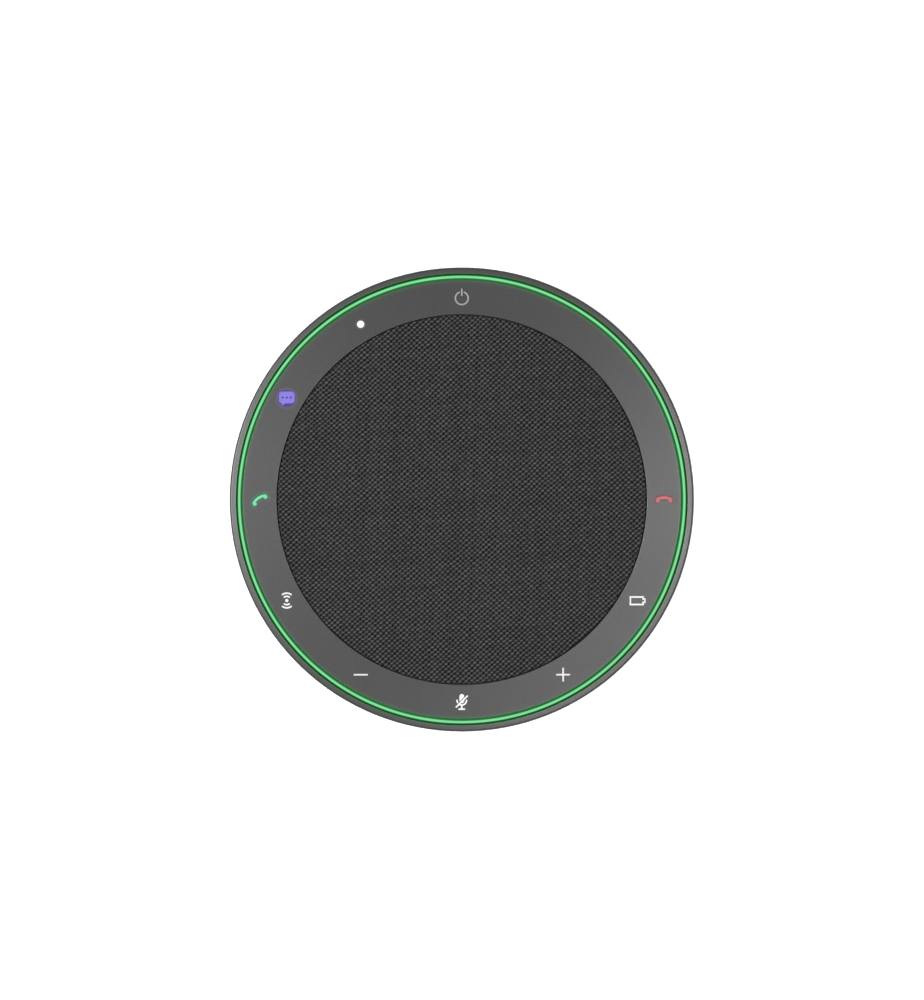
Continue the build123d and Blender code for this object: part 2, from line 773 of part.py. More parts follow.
def speaker_surround():
    """A half-roll of rubber between the cone's lip and the flange."""
    middle = (cone_radius + flange_bore) / 2 + 0.3
    z = flange_high
    outside = middle + roll_radius
    inside = middle - roll_radius
    lip, over = 1.3, z + roll_sheet
    under_in, under_out = (inside + roll_sheet, z), (outside - roll_sheet, z)
    over_in, over_out = (inside + 0.05, over), (outside - 0.05, over)
    outline = Polyline((inside - lip, z), under_in)
    outline += ThreePointArc(under_in, (middle, z + roll_radius - roll_sheet), under_out)
    outline += Polyline(under_out, (outside + lip, z), (outside + lip, over), over_out)
    outline += ThreePointArc(over_out, (middle, z + roll_radius), over_in)
    outline += Polyline(over_in, (inside - lip, over), (inside - lip, z))
    return revolve(Plane.XZ * make_face(outline), Axis.Z)


def cone_foot():
    """Height of the cone's joint with the coil former."""
    return spider_z() + 0.9


def speaker_cone():
    foot = former_radius + 0.02
    lip = flange_high - cone_sheet
    return turned(
        (foot, cone_foot()),
        (foot + 1.0, cone_foot()),
        (cone_radius - 1.3, lip),
        (cone_radius, lip),
        (cone_radius, flange_high),
        (cone_radius - 1.5, flange_high),
        (foot, cone_foot() + 0.7),
    )


def dust_cap():
    base, rise, sheet = former_radius + 0.8, 2.4, 0.4
    foot = cone_foot() + 1.0
    cap = crown_ball(foot + rise, base, rise) - crown_ball(foot + rise - sheet, base, rise)
    return cap & disc(base, foot, foot + rise)


def coil_former():
    return ring(former_radius - former_sheet, former_radius, former_low, cone_foot() + 0.7)


def coil_winding():
    low = winding_middle - winding_height / 2
    return ring(former_radius + 0.01, winding_outer, low, low + winding_height)


def speaker_yoke():
    yoke = disc(yoke_radius, magnet_low - yoke_thickness, magnet_low)
    yoke = chamfer(yoke.edges().group_by(Axis.Z)[0], 0.6)
    return yoke + disc(former_radius - former_sheet - pole_gap, magnet_low - 1, top_plate_high)


def speaker_terminals():
    """The tab board on the basket, cut to the basket's slope."""
    foot, top = basket_line()
    low, high = basket_low + 1.5, basket_low + 5.0
    card = polar_block(6.5, 7, low, high, foot + 6.2, terminal_angle)
    cone = turned(
        (0, basket_low - 0.5),
        (foot + basket_sheet + 0.1, basket_low - 0.5),
        (top + basket_sheet + 0.1, flange_low),
        (0, flange_low),
    )
    ledge = disc(spider_outer() + 0.5, 0, spider_z() + 0.1)
    return card - cone - ledge


def speaker_gasket():
    gasket = ring(flange_bore + basket_sheet + 1.2, flange_radius, seat_z, flange_low)
    for at in [polar(speaker_screw_circle, a) for a in speaker_screw_angles]:
        gasket -= post(board_screw_radius + board_screw_gap, seat_z - 1, flange_low + 1, at)
    return gasket


# ---------------------------------------------------------------- electronics in the bowl
def board_screw_places():
    near, far = main_board_inner + 4.0, main_board_outer - 4.0
    return [polar(near, 3), polar(far, 78), polar(far, 102), polar(near, 177)]


def main_board():
    fan = sector(*main_board_span, 100)
    board = ring(main_board_inner, main_board_outer, main_board_low, main_board_top)
    board = board & Pos(0, 0, main_board_low - 1) * extrude(fan, 5)
    tab_end = socket_front() - bezel_back - 0.4
    board += block(13, tab_end - 45, main_board_low, main_board_top, 0, (tab_end + 45) / 2)
    for at in [polar(case_screw_circle, a) for a in case_screw_angles[:4]]:
        board -= post(screw_boss_radius + 0.3, main_board_low - 1, main_board_top + 1, at)
    for at in board_screw_places():
        board -= post(board_screw_radius + board_screw_gap, main_board_low - 1, main_board_top + 1, at)
    return board


def board_block(length, width, height, radius, angle):
    """A component on the main board, turned to the board's arc."""
    return polar_block(width, length, main_board_top, main_board_top + height, radius, angle)


def main_chips():
    middle = (main_board_inner + main_board_outer) / 2
    chips = [
        board_block(9, 9, 1.1, middle, 135),
        board_block(6, 5, 0.9, middle - 4, 148),
        board_block(7, 7, 1.0, middle - 2, 32),
        board_block(5, 4, 0.9, middle + 5, 8),
        board_block(3.2, 1.6, 1.2, main_board_outer - 3, 30),
    ]
    return chips


def capacitors():
    places = [(4, 52), (4, 58), (5, 123), (4, 163)]
    cans = []
    for inset, angle in places:
        at = polar(main_board_inner + inset, angle)
        can = post(2.4, main_board_top, main_board_top + 5.2, at)
        cans.append(chamfer(can.edges().group_by(Axis.Z)[-1], 0.3))
    return cans


def shield_can():
    low, high = main_board_top, main_board_top + 2.4
    at_y = main_board_inner + 6.8
    can = block(18, 11, low, high, 0, at_y) - block(17.4, 10.4, low - 1, high - 0.3, 0, at_y)
    return fillet(can.edges().group_by(Axis.Z)[-1], 0.25)


def usb_socket():
    """The stamped shell of a USB-C socket, with its mouth towards +Y."""
    width, depth, height = socket_size
    outer = Plane.XZ * RectangleRounded(width, height, height / 2 - 0.03)
    hollow = (width - 2 * socket_sheet, height - 2 * socket_sheet)
    inner = Plane.XZ * RectangleRounded(*hollow, hollow[1] / 2 - 0.05)
    shell = extrude(outer, depth) - Pos(0, 0.01, 0) * extrude(inner, depth - 1.0)
    return Pos(0, socket_front(), socket_middle) * shell


def usb_tongue():
    width, depth, height = socket_size
    blade = Plane.XZ * RectangleRounded(6.69, 0.7, 0.2)
    return Pos(0, socket_front() - 0.9, socket_middle) * extrude(blade, depth - 1.92)


def usb_bezel():
    low_y = socket_front() - bezel_back
    sleeve = bezel_box(0, low_y) & body_envelope()
    hollow = Plane.XZ * RectangleRounded(*bezel_opening, 2.0)
    sleeve -= Pos(0, socket_front(), socket_middle) * extrude(hollow, -14)
    mouth = Plane.XZ * RectangleRounded(socket_size[0] + 2 * slip, socket_size[2] + 2 * slip, 1.6)
    return sleeve - Pos(0, socket_front() + 1, socket_middle) * extrude(mouth, 4)


def battery_cell():
    cell = Rot(0, 90, 0) * Cylinder(cell_radius, cell_length)
    cell = fillet(cell.edges(), 0.7)
    tip = Rot(0, 90, 0) * Cylinder(2.8, 1.0)
    return Pos(0, cell_y, cell_z) * (cell + Pos(cell_length / 2 + 0.4, 0, 0) * tip)


def battery_sleeve():
    outer = Rot(0, 90, 0) * Cylinder(cell_radius + cell_sleeve, cell_length - 1.6)
    return Pos(0, cell_y, cell_z) * (outer - Rot(0, 90, 0) * Cylinder(cell_radius + 0.01, cell_length + 2))


def battery_pads():
    """Two foam saddles between the cell and the floor."""
    rod = Rot(0, 90, 0) * Cylinder(cell_radius + cell_sleeve + 0.02, cell_length + 4)
    sleeve = Pos(0, cell_y, cell_z) * rod
    return [block(8, 13, floor_top, cell_z - 4, x, cell_y) - sleeve for x in (-20, 20)]


def lead(points, diameter):
    """A wire along straight runs joined by arcs as large as the runs allow."""
    path_points = [Vector(*p) for p in points]
    radii = []
    for a, b, c in zip(path_points, path_points[1:], path_points[2:]):
        turn = (b - a).get_angle(c - b)
        radii.append(0.45 * min((b - a).length, (c - b).length) / tan(radians(turn / 2)))
    path = FilletPolyline(*path_points, radius=radii)
    start = Plane(origin=path @ 0, z_dir=path % 0)
    return sweep(start * Circle(diameter / 2), path=path)


def battery_plug():
    return block(4.6, 6.4, main_board_top, main_board_top + 4.4, -main_board_inner - 12.0, -1.0)


def battery_lead():
    left = -cell_length / 2
    plug_x = -main_board_inner - 12.0
    height = main_board_top + 2.6
    return lead(
        [
            (left - 0.12, cell_y, cell_z + 3.6),
            (left - 6.2, cell_y + 0.6, cell_z + 3.2),
            (left - 14.0, cell_y + 8.0, cell_z + 1.6),
            (left - 18.4, cell_y + 20.0, cell_z - 0.4),
            (plug_x - 1.6, cell_y + 29.0, height + 0.6),
            (plug_x, -4.4, height),
        ],
        lead_diameter,
    )


def speaker_plug():
    at = polar(main_board_inner + 5.0, terminal_angle - 27)
    return block(5.0, 4.0, main_board_top, main_board_top + 3.6, at.X, at.Y, turn=terminal_angle - 117)


def speaker_lead():
    start = polar(basket_root + 10.1, terminal_angle, basket_low + 2.5)
    end = polar(main_board_inner + 2.6, terminal_angle - 27, main_board_top + 2.0)
    middle = polar(basket_root + 13.5, terminal_angle - 8, basket_low - 1.2)
    near = polar(main_board_inner - 2.4, terminal_angle - 20, main_board_top + 3.2)
    return lead([tuple(start), tuple(middle), tuple(near), tuple(end)], lead_diameter * 0.8)


def key_flex():
    """The flat cable from the key board, in through the panel's skirt and down to the main board."""
    drop = flex_radius()
    high = board_top + 0.75
    low = main_board_top + 1.0
    start, end = (panel_inner + skirt_width + 1.6, 0, high), (drop - 2.6, 0, low)
    path = FilletPolyline(start, (drop, 0, high), (drop, 0, low), end, radius=1.0)
    section = Plane(origin=path @ 0, x_dir=(0, 1, 0), z_dir=path % 0) * Rectangle(flex_width, flex_sheet)
    return Rot(0, 0, flex_angle) * sweep(section, path=path)


def flex_connectors():
    size = (2.6, flex_width + 2)
    upper_at, lower_at = panel_inner + skirt_width + 2.9, flex_radius() - 3.9
    upper = polar_block(*size, board_top, board_top + 1.3, upper_at, flex_angle)
    lower = polar_block(*size, main_board_top, main_board_top + 1.6, lower_at, flex_angle)
    return [upper, lower]


# ---------------------------------------------------------------- microphones
def mic_boots():
    low, high = mic_height - mic_boot[2] / 2, mic_height + mic_boot[2] / 2
    boots = []
    for angle in mic_angles:
        deep = mic_boot[1] + 1
        boot = polar_block(deep, mic_boot[0], low, high, mic_board_face + deep / 2, angle)
        boot = boot & disc(upper_inner - slip / 2, low, high)
        boots.append(boot - radial_drill(mic_port_radius, 12, upper_inner, angle, mic_height))
    return boots


def mic_cards():
    cards = []
    for angle in mic_angles:
        middle = mic_board_face - mic_card[1] / 2
        low, high = mic_height - mic_card[2] / 2, mic_height + mic_card[2] / 2
        card = polar_block(mic_card[1], mic_card[0], low, high, middle, angle)
        cards.append(card - radial_drill(0.4, 4, middle, angle, mic_height))
    return cards


def microphones():
    face = mic_board_face - mic_card[1]
    low, high = mic_height - mic_can[2] / 2 - 0.4, mic_height + mic_can[2] / 2 - 0.4
    return [polar_block(mic_can[1], mic_can[0], low, high, face - mic_can[1] / 2, a) for a in mic_angles]


def mic_flexes():
    face = mic_board_face - mic_card[1]
    low = mic_height + mic_can[2] / 2 + 0.1
    return [polar_block(0.2, 3.0, low, frame_top, face - 0.1, a) for a in mic_angles]


# ---------------------------------------------------------------- the nodes
save("upper_housing", upper_housing())
save("lower_housing", lower_housing())
save("case_seal", case_seal())
save("rubber_foot", rubber_foot())
save("base_plate", base_plate())
save("key_panel", key_panel())
for name, angle, face in keys:
    save(name, key(name, angle, face))
save("key_domes", key_domes())
save("key_leds", key_leds())
save("key_board", key_board())
save("light_ring", light_ring())
save("light_channel", light_channel())
save("ring_leds", ring_leds())
save("mid_frame", mid_frame())
save("grille_plate", grille_plate())
save("grille_cloth", grille_cloth())
save("speaker_frame", speaker_frame())
save("speaker_gasket", speaker_gasket())
save("speaker_surround", speaker_surround())
save("speaker_spider", speaker_spider())
save("speaker_cone", speaker_cone())
save("speaker_dust_cap", dust_cap())
save("voice_coil_former", coil_former())
save("voice_coil_winding", coil_winding())
top_plate_radii = (winding_outer + coil_bore_gap, yoke_radius + 0.5)
save("speaker_top_plate", ring(*top_plate_radii, top_plate_low, top_plate_high))
save("speaker_magnet", ring(winding_outer + 2.0, magnet_radius, magnet_low, top_plate_low))
save("speaker_yoke", speaker_yoke())
save("speaker_terminals", speaker_terminals())
speaker_ring = (speaker_screw_circle, speaker_screw_angles)
case_ring = (case_screw_circle, case_screw_angles)
panel_ring = (key_circle, panel_screw_angles)
save("speaker_screws", screws(board_screw_radius, speaker_head, flange_high, 4.2, *speaker_ring, True))
save("case_screws", screws(case_screw_radius, case_head, seat_height, case_screw_length, *case_ring))
save("panel_screws", screws(board_screw_radius, panel_screw_head, frame_low, 4.6, *panel_ring))
board_heads = []
for place in board_screw_places():
    angle, radius = degrees(atan2(place.Y, place.X)), hypot(place.X, place.Y)
    board_heads += screws(board_screw_radius, board_head, main_board_top, 4.4, radius, [angle], True)
save("board_screws", board_heads)
save("main_board", main_board())
save("main_chips", main_chips())
save("capacitors", capacitors())
save("shield_can", shield_can())
save("usb_socket", usb_socket())
save("usb_tongue", usb_tongue())
save("usb_bezel", usb_bezel())
save("battery_cell", battery_cell())
save("battery_sleeve", battery_sleeve())
save("battery_pads", battery_pads())
save("lead_plugs", battery_plug(), speaker_plug())
save("battery_lead", battery_lead())
save("speaker_lead", speaker_lead())
save("key_flex", key_flex())
save("flex_connectors", flex_connectors())
save("microphones", microphones())
save("mic_cards", mic_cards())
save("mic_boots", mic_boots())
save("mic_flexes", mic_flexes())

os.makedirs("parts", exist_ok=True)
for name, shape in parts.items():
    shape.label = name
    export_step(shape, f"parts/{name}.step")
print(len(parts), "nodes")
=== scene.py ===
import math

import bmesh
import bpy
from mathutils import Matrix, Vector


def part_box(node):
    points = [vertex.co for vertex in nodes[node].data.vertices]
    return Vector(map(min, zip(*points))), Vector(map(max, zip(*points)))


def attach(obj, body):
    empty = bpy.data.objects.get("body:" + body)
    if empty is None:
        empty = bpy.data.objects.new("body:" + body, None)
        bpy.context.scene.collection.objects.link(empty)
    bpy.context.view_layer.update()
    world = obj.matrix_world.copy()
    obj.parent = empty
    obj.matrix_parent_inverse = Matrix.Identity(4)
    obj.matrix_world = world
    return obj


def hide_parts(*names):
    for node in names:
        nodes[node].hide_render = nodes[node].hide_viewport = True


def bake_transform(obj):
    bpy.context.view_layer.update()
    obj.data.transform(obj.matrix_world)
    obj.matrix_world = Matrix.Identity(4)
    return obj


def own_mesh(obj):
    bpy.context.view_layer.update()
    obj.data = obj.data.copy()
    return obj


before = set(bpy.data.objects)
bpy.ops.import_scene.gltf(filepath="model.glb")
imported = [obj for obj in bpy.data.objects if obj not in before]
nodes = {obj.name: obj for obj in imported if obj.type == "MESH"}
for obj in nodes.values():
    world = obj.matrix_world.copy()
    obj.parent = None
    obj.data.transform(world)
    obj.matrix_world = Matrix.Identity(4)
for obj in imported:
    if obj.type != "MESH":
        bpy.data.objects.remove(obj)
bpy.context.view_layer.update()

mm = 0.001
bpy.ops.object.select_all(action="DESELECT")
print("frame loaded:", len(nodes), "nodes")


# the camera looks straight down on the grille through a long lens
camera = {"lens": 200.0, "place": (0.000063, -0.000143, 1.6157), "clipStart": 0.01, "clipEnd": 5.0}
bpy.ops.object.camera_add(location=camera["place"], rotation=(0, 0, 0))
viewCamera = bpy.context.object
viewCamera.name = "viewCamera"
viewCamera.data.lens = camera["lens"]
viewCamera.data.sensor_width = 36.0
viewCamera.data.clip_start = camera["clipStart"]
viewCamera.data.clip_end = camera["clipEnd"]
bpy.context.scene.camera = viewCamera
bpy.context.scene.view_settings.view_transform = "Standard"
print("camera placed")


# ---- shader helpers
def newMaterial(name):
    made = bpy.data.materials.new(name)
    made.use_nodes = True
    tree = made.node_tree
    tree.nodes.clear()
    output = tree.nodes.new("ShaderNodeOutputMaterial")
    shader = tree.nodes.new("ShaderNodeBsdfPrincipled")
    tree.links.new(shader.outputs["BSDF"], output.inputs["Surface"])
    place = tree.nodes.new("ShaderNodeTexCoord")
    return made, tree, shader, place.outputs["Object"]


def addNode(tree, kind, inputs=None, **settings):
    node = tree.nodes.new(kind)
    for key, value in settings.items():
        setattr(node, key, value)
    for key, value in (inputs or {}).items():
        if isinstance(value, bpy.types.NodeSocket):
            tree.links.new(value, node.inputs[key])
        else:
            node.inputs[key].default_value = value
    return node


def noise(tree, place, size, detail=3.0, roughness=0.5):
    # size is the width of one blotch in millimetres
    node = addNode(tree, "ShaderNodeTexNoise", {"Vector": place, "Scale": 1000.0 / size, "Detail": detail,
                                                "Roughness": roughness})
    return node.outputs["Fac"]


def ramp(tree, value, stops, smooth="LINEAR"):
    node = addNode(tree, "ShaderNodeValToRGB", {"Fac": value})
    node.color_ramp.interpolation = smooth
    points = node.color_ramp.elements
    while len(points) < len(stops):
        points.new(0.5)
    for point, (where, colour) in zip(points, stops):
        point.position = where
        point.color = (*colour, 1.0)
    return node.outputs["Color"]


def remap(tree, value, low, high, fromLow=0.3, fromHigh=0.7):
    node = addNode(tree, "ShaderNodeMapRange", {"Value": value, "From Min": fromLow, "From Max": fromHigh,
                                                "To Min": low, "To Max": high})
    return node.outputs["Result"]


def calc(tree, operation, first, second=0.0, third=0.0):
    return addNode(tree, "ShaderNodeMath", {0: first, 1: second, 2: third}, operation=operation).outputs[0]


def mixColour(tree, share, first, second, way="MIX"):
    node = addNode(tree, "ShaderNodeMix", data_type="RGBA", blend_type=way)
    for socket, value in ((node.inputs[0], share), (node.inputs[6], first), (node.inputs[7], second)):
        if isinstance(value, bpy.types.NodeSocket):
            tree.links.new(value, socket)
        else:
            socket.default_value = (*value, 1.0) if isinstance(value, tuple) else value
    return node.outputs[2]


def scaled(tree, colour, factor):
    return addNode(tree, "ShaderNodeVectorMath", {0: colour, "Scale": factor}, operation="SCALE").outputs[0]


def bump(tree, height, distance, strength=1.0, normal=None):
    inputs = {"Height": height, "Distance": distance * mm, "Strength": strength}
    if normal is not None:
        inputs["Normal"] = normal
    return addNode(tree, "ShaderNodeBump", inputs).outputs["Normal"]


def flatRadius(tree, place, middle=(0.0, 0.0, 0.0)):
    # distance from a point, seen from above, in millimetres
    moved = addNode(tree, "ShaderNodeVectorMath", {0: place, 1: tuple(middle)}, operation="SUBTRACT")
    flat = addNode(tree, "ShaderNodeVectorMath", {0: moved.outputs[0], 1: (1.0, 1.0, 0.0)},
                   operation="MULTIPLY")
    reach = addNode(tree, "ShaderNodeVectorMath", {0: flat.outputs[0]}, operation="LENGTH")
    return calc(tree, "MULTIPLY", reach.outputs["Value"], 1000.0)


def softStep(tree, value, near, far):
    # one inside near, nothing outside far
    inputs = {"Value": value, "From Min": near, "From Max": far, "To Min": 1.0, "To Max": 0.0}
    return addNode(tree, "ShaderNodeMapRange", inputs, interpolation_type="SMOOTHSTEP").outputs["Result"]


def paintedRingSpill(tree, place, paintedSpill, side):
    # painted light: green emission standing in for the ring's light, fading away from the edge of its
    # channel, towards the middle when side is one
    away = calc(tree, "SUBTRACT", paintedSpill["edge"], flatRadius(tree, place))
    fade = calc(tree, "EXPONENT", calc(tree, "MULTIPLY", away, -side / paintedSpill["reach"]))
    fade = calc(tree, "MINIMUM", fade, 1.0)
    return scaled(tree, paintedSpill["colour"], fade)


def shade(colour, factor):
    return tuple(min(1.0, part * factor) for part in colour)


def dressNode(name, material):
    node = nodes[name]
    for slot in node.material_slots:
        slot.material = material
    if not node.material_slots:
        node.data.materials.append(material)


# ---- moulded plastics and rubbers: a fine spark-eroded grain, with slight unevenness of colour and gloss
def mouldedMaterial(name, look):
    made, tree, shader, place = newMaterial(name)
    colour = look["colour"]
    broad = noise(tree, place, look.get("cloudSize", 9.0), 2.0)
    grain = noise(tree, place, look["grainSize"], 2.0, 0.6)
    tint = ramp(tree, broad, [(0.3, shade(colour, 0.93)), (0.7, shade(colour, 1.07))])
    speck = ramp(tree, grain, [(0.25, shade((1, 1, 1), 0.84)), (0.75, (1.0, 1.0, 1.0))])
    tree.links.new(mixColour(tree, 1.0, tint, speck, "MULTIPLY"), shader.inputs["Base Color"])
    gloss = look["roughness"]
    tree.links.new(remap(tree, grain, gloss - 0.04, gloss + 0.05), shader.inputs["Roughness"])
    relief = bump(tree, grain, look["grainDepth"])
    tree.links.new(relief, shader.inputs["Normal"])
    shader.inputs["Specular IOR Level"].default_value = look.get("specular", 0.45)
    if "sheen" in look:
        shader.inputs["Sheen Weight"].default_value = look["sheen"]
        shader.inputs["Sheen Roughness"].default_value = 0.45
    if "coat" in look:
        shader.inputs["Coat Weight"].default_value = look["coat"]
        shader.inputs["Coat Roughness"].default_value = 0.2
    if "paintedSpill" in look:     # painted light: green emission on the rim's top stands in for the ring's light falling there
        height = addNode(tree, "ShaderNodeSeparateXYZ", {"Vector": place}).outputs["Z"]
        top = calc(tree, "GREATER_THAN", height, look["paintedSpill"]["lowest"] * mm)
        glow = scaled(tree, paintedRingSpill(tree, place, look["paintedSpill"], -1.0), top)
        tree.links.new(glow, shader.inputs["Emission Color"])
        shader.inputs["Emission Strength"].default_value = 1.0
    return made


plastics = {
    "housingPlastic": {"colour": (0.017, 0.0175, 0.017), "roughness": 0.33, "grainSize": 0.2,
                       "grainDepth": 0.006, "specular": 0.5,
                       # the ring's green light, painted on the rim's top as emission
                       "paintedSpill": {"colour": (0.0, 0.06, 0.004), "edge": 64.4, "reach": 0.35, "lowest": 31.0}},
    "innerPlastic": {"colour": (0.022, 0.022, 0.024), "roughness": 0.55, "grainSize": 0.4,
                     "grainDepth": 0.02},
    "footRubber": {"colour": (0.017, 0.017, 0.018), "roughness": 0.74, "grainSize": 0.3, "grainDepth": 0.02,
                   "specular": 0.3},
    "sealSilicone": {"colour": (0.012, 0.012, 0.013), "roughness": 0.6, "grainSize": 0.5, "grainDepth": 0.01,
                     "specular": 0.3},
    "labelPlastic": {"colour": (0.045, 0.046, 0.048), "roughness": 0.36, "grainSize": 0.16,
                     "grainDepth": 0.006},
    "foam": {"colour": (0.02, 0.02, 0.021), "roughness": 0.9, "grainSize": 0.5, "grainDepth": 0.12,
             "specular": 0.15},
    "whiteReflector": {"colour": (0.8, 0.82, 0.8), "roughness": 0.45, "grainSize": 0.5, "grainDepth": 0.01},
    "chipPackage": {"colour": (0.016, 0.016, 0.018), "roughness": 0.5, "grainSize": 0.12, "grainDepth": 0.01},
    "plugNylon": {"colour": (0.76, 0.73, 0.62), "roughness": 0.42, "grainSize": 0.7, "grainDepth": 0.01},
    "phenolicBoard": {"colour": (0.22, 0.13, 0.06), "roughness": 0.5, "grainSize": 0.8, "grainDepth": 0.02},
    "redInsulation": {"colour": (0.42, 0.015, 0.015), "roughness": 0.4, "grainSize": 1.2, "grainDepth": 0.01},
    "blackInsulation": {"colour": (0.015, 0.015, 0.016), "roughness": 0.4, "grainSize": 1.2,
                        "grainDepth": 0.01},
    "shrinkSleeve": {"colour": (0.02, 0.1, 0.33), "roughness": 0.28, "grainSize": 3.5, "grainDepth": 0.03,
                     "coat": 0.3},
    "coatedPulp": {"colour": (0.02, 0.02, 0.021), "roughness": 0.8, "grainSize": 0.6, "grainDepth": 0.06,
                   "specular": 0.2},
    "surroundRubber": {"colour": (0.014, 0.014, 0.015), "roughness": 0.5, "grainSize": 1.0,
                       "grainDepth": 0.01},
    "basketPaint": {"colour": (0.02, 0.02, 0.022), "roughness": 0.45, "grainSize": 0.5, "grainDepth": 0.03},
    "ferrite": {"colour": (0.035, 0.035, 0.038), "roughness": 0.6, "grainSize": 0.35, "grainDepth": 0.03},
    "lampClear": {"colour": (0.85, 0.8, 0.5), "roughness": 0.25, "grainSize": 0.6, "grainDepth": 0.01},
}
finish = {name: mouldedMaterial(name, look) for name, look in plastics.items()}
print("plastics mixed:", len(finish))


# ---- metals: fine stretched scratches and a little tarnish
brushed = {"stretch": (1.0, 1.0, 9.0), "cloudSize": 6.0, "tarnish": 0.85, "depth": 0.01}


def metalMaterial(name, look):
    made, tree, shader, place = newMaterial(name)
    stretch = addNode(tree, "ShaderNodeMapping", {"Vector": place, "Scale": brushed["stretch"]})
    lines = noise(tree, stretch.outputs["Vector"], look["grainSize"], 3.0, 0.6)
    clouds = noise(tree, place, brushed["cloudSize"], 2.0)
    colour = look["colour"]
    tree.links.new(ramp(tree, clouds, [(0.3, shade(colour, brushed["tarnish"])), (0.7, colour)]),
                   shader.inputs["Base Color"])
    tree.links.new(remap(tree, lines, look["roughness"] - 0.06, look["roughness"] + 0.1),
                   shader.inputs["Roughness"])
    tree.links.new(bump(tree, lines, brushed["depth"]), shader.inputs["Normal"])
    shader.inputs["Metallic"].default_value = 1.0
    return made


metals = {
    "tinPlate": {"colour": (0.62, 0.62, 0.61), "roughness": 0.3, "grainSize": 0.5},
    "springSteel": {"colour": (0.66, 0.63, 0.58), "roughness": 0.25, "grainSize": 0.4},
    "blackScrew": {"colour": (0.06, 0.06, 0.065), "roughness": 0.35, "grainSize": 0.4},
    "zincSteel": {"colour": (0.6, 0.61, 0.62), "roughness": 0.38, "grainSize": 0.8},
    "foilFormer": {"colour": (0.75, 0.75, 0.75), "roughness": 0.3, "grainSize": 0.6},
    "nickelCell": {"colour": (0.68, 0.67, 0.64), "roughness": 0.28, "grainSize": 0.8},
    "canAluminium": {"colour": (0.78, 0.78, 0.79), "roughness": 0.26, "grainSize": 0.6},
}
finish.update({name: metalMaterial(name, look) for name, look in metals.items()})


# the coil's turns show as fine rings up the winding
def windingMaterial():
    look = {"colour": (0.72, 0.3, 0.1), "pitch": 0.22}
    made, tree, shader, place = newMaterial("copperWinding")
    height = addNode(tree, "ShaderNodeSeparateXYZ", {"Vector": place}).outputs["Z"]
    turns = calc(tree, "SINE", calc(tree, "MULTIPLY", height, 2 * math.pi / (look["pitch"] * mm)))
    lift = remap(tree, turns, 0.0, 1.0, -1.0, 1.0)
    tree.links.new(ramp(tree, lift, [(0.0, shade(look["colour"], 0.35)), (0.6, look["colour"])]),
                   shader.inputs["Base Color"])
    tree.links.new(bump(tree, lift, 0.08), shader.inputs["Normal"])
    shader.inputs["Metallic"].default_value = 0.85
    shader.inputs["Roughness"].default_value = 0.32
    return made


# circuit boards: solder mask over a web of copper tracks, with tinned pads
boardLook = {"tin": (0.62, 0.6, 0.5), "trackLift": 1.7, "trackWidth": (0.42, 0.5), "padRadius": (0.09, 0.12)}


def boardMaterial(name, look):
    made, tree, shader, place = newMaterial(name)
    cells = addNode(tree, "ShaderNodeTexVoronoi", {"Vector": place, "Scale": 1000.0 / look["trackPitch"]},
                    distance="MANHATTAN", feature="F1")
    tracks = remap(tree, cells.outputs["Distance"], 0.0, 1.0, *boardLook["trackWidth"])
    pads = addNode(tree, "ShaderNodeTexVoronoi", {"Vector": place, "Scale": 1000.0 / look["padPitch"],
                                                 "Randomness": 1.0}, feature="F1")
    tinned = remap(tree, pads.outputs["Distance"], 1.0, 0.0, *boardLook["padRadius"])
    mask = mixColour(tree, tracks, look["colour"], shade(look["colour"], boardLook["trackLift"]))
    tree.links.new(mixColour(tree, tinned, mask, boardLook["tin"]), shader.inputs["Base Color"])
    tree.links.new(tinned, shader.inputs["Metallic"])
    tree.links.new(remap(tree, tracks, 0.34, 0.26, 0.0, 1.0), shader.inputs["Roughness"])
    tree.links.new(bump(tree, tracks, 0.03), shader.inputs["Normal"])
    return made


# woven spider, resin-dipped
def spiderMaterial():
    look = {"colour": (0.5, 0.36, 0.12), "pitch": 0.5}
    made, tree, shader, place = newMaterial("dippedCotton")
    weave = addNode(tree, "ShaderNodeTexChecker", {"Vector": place, "Scale": 1000.0 / look["pitch"],
                                                   "Color1": (*look["colour"], 1.0),
                                                   "Color2": (*shade(look["colour"], 0.6), 1.0)})
    tree.links.new(weave.outputs["Color"], shader.inputs["Base Color"])
    tree.links.new(bump(tree, weave.outputs["Fac"], 0.05), shader.inputs["Normal"])
    tree.links.new(remap(tree, noise(tree, place, 1.5), 0.55, 0.7), shader.inputs["Roughness"])
    return made


# amber polyimide film with copper tracks running down it
def filmMaterial():
    look = {"colour": (0.42, 0.15, 0.02), "tracks": (0.62, 0.27, 0.06)}
    made, tree, shader, place = newMaterial("polyimideFilm")
    grain = noise(tree, place, 0.6, 1.0)
    tree.links.new(ramp(tree, grain, [(0.42, look["colour"]), (0.5, look["tracks"])], "EASE"),
                   shader.inputs["Base Color"])
    tree.links.new(remap(tree, grain, 0.22, 0.32), shader.inputs["Roughness"])
    return made


finish["copperWinding"] = windingMaterial()
finish["mainBoard"] = boardMaterial("mainBoard", {"colour": (0.008, 0.07, 0.03), "trackPitch": 1.3,
                                                  "padPitch": 2.6})
finish["keyBoard"] = boardMaterial("keyBoard", {"colour": (0.012, 0.014, 0.013), "trackPitch": 1.1,
                                                "padPitch": 2.2})
finish["dippedCotton"] = spiderMaterial()
finish["polyimideFilm"] = filmMaterial()
print("metals, boards and films mixed:", len(finish))
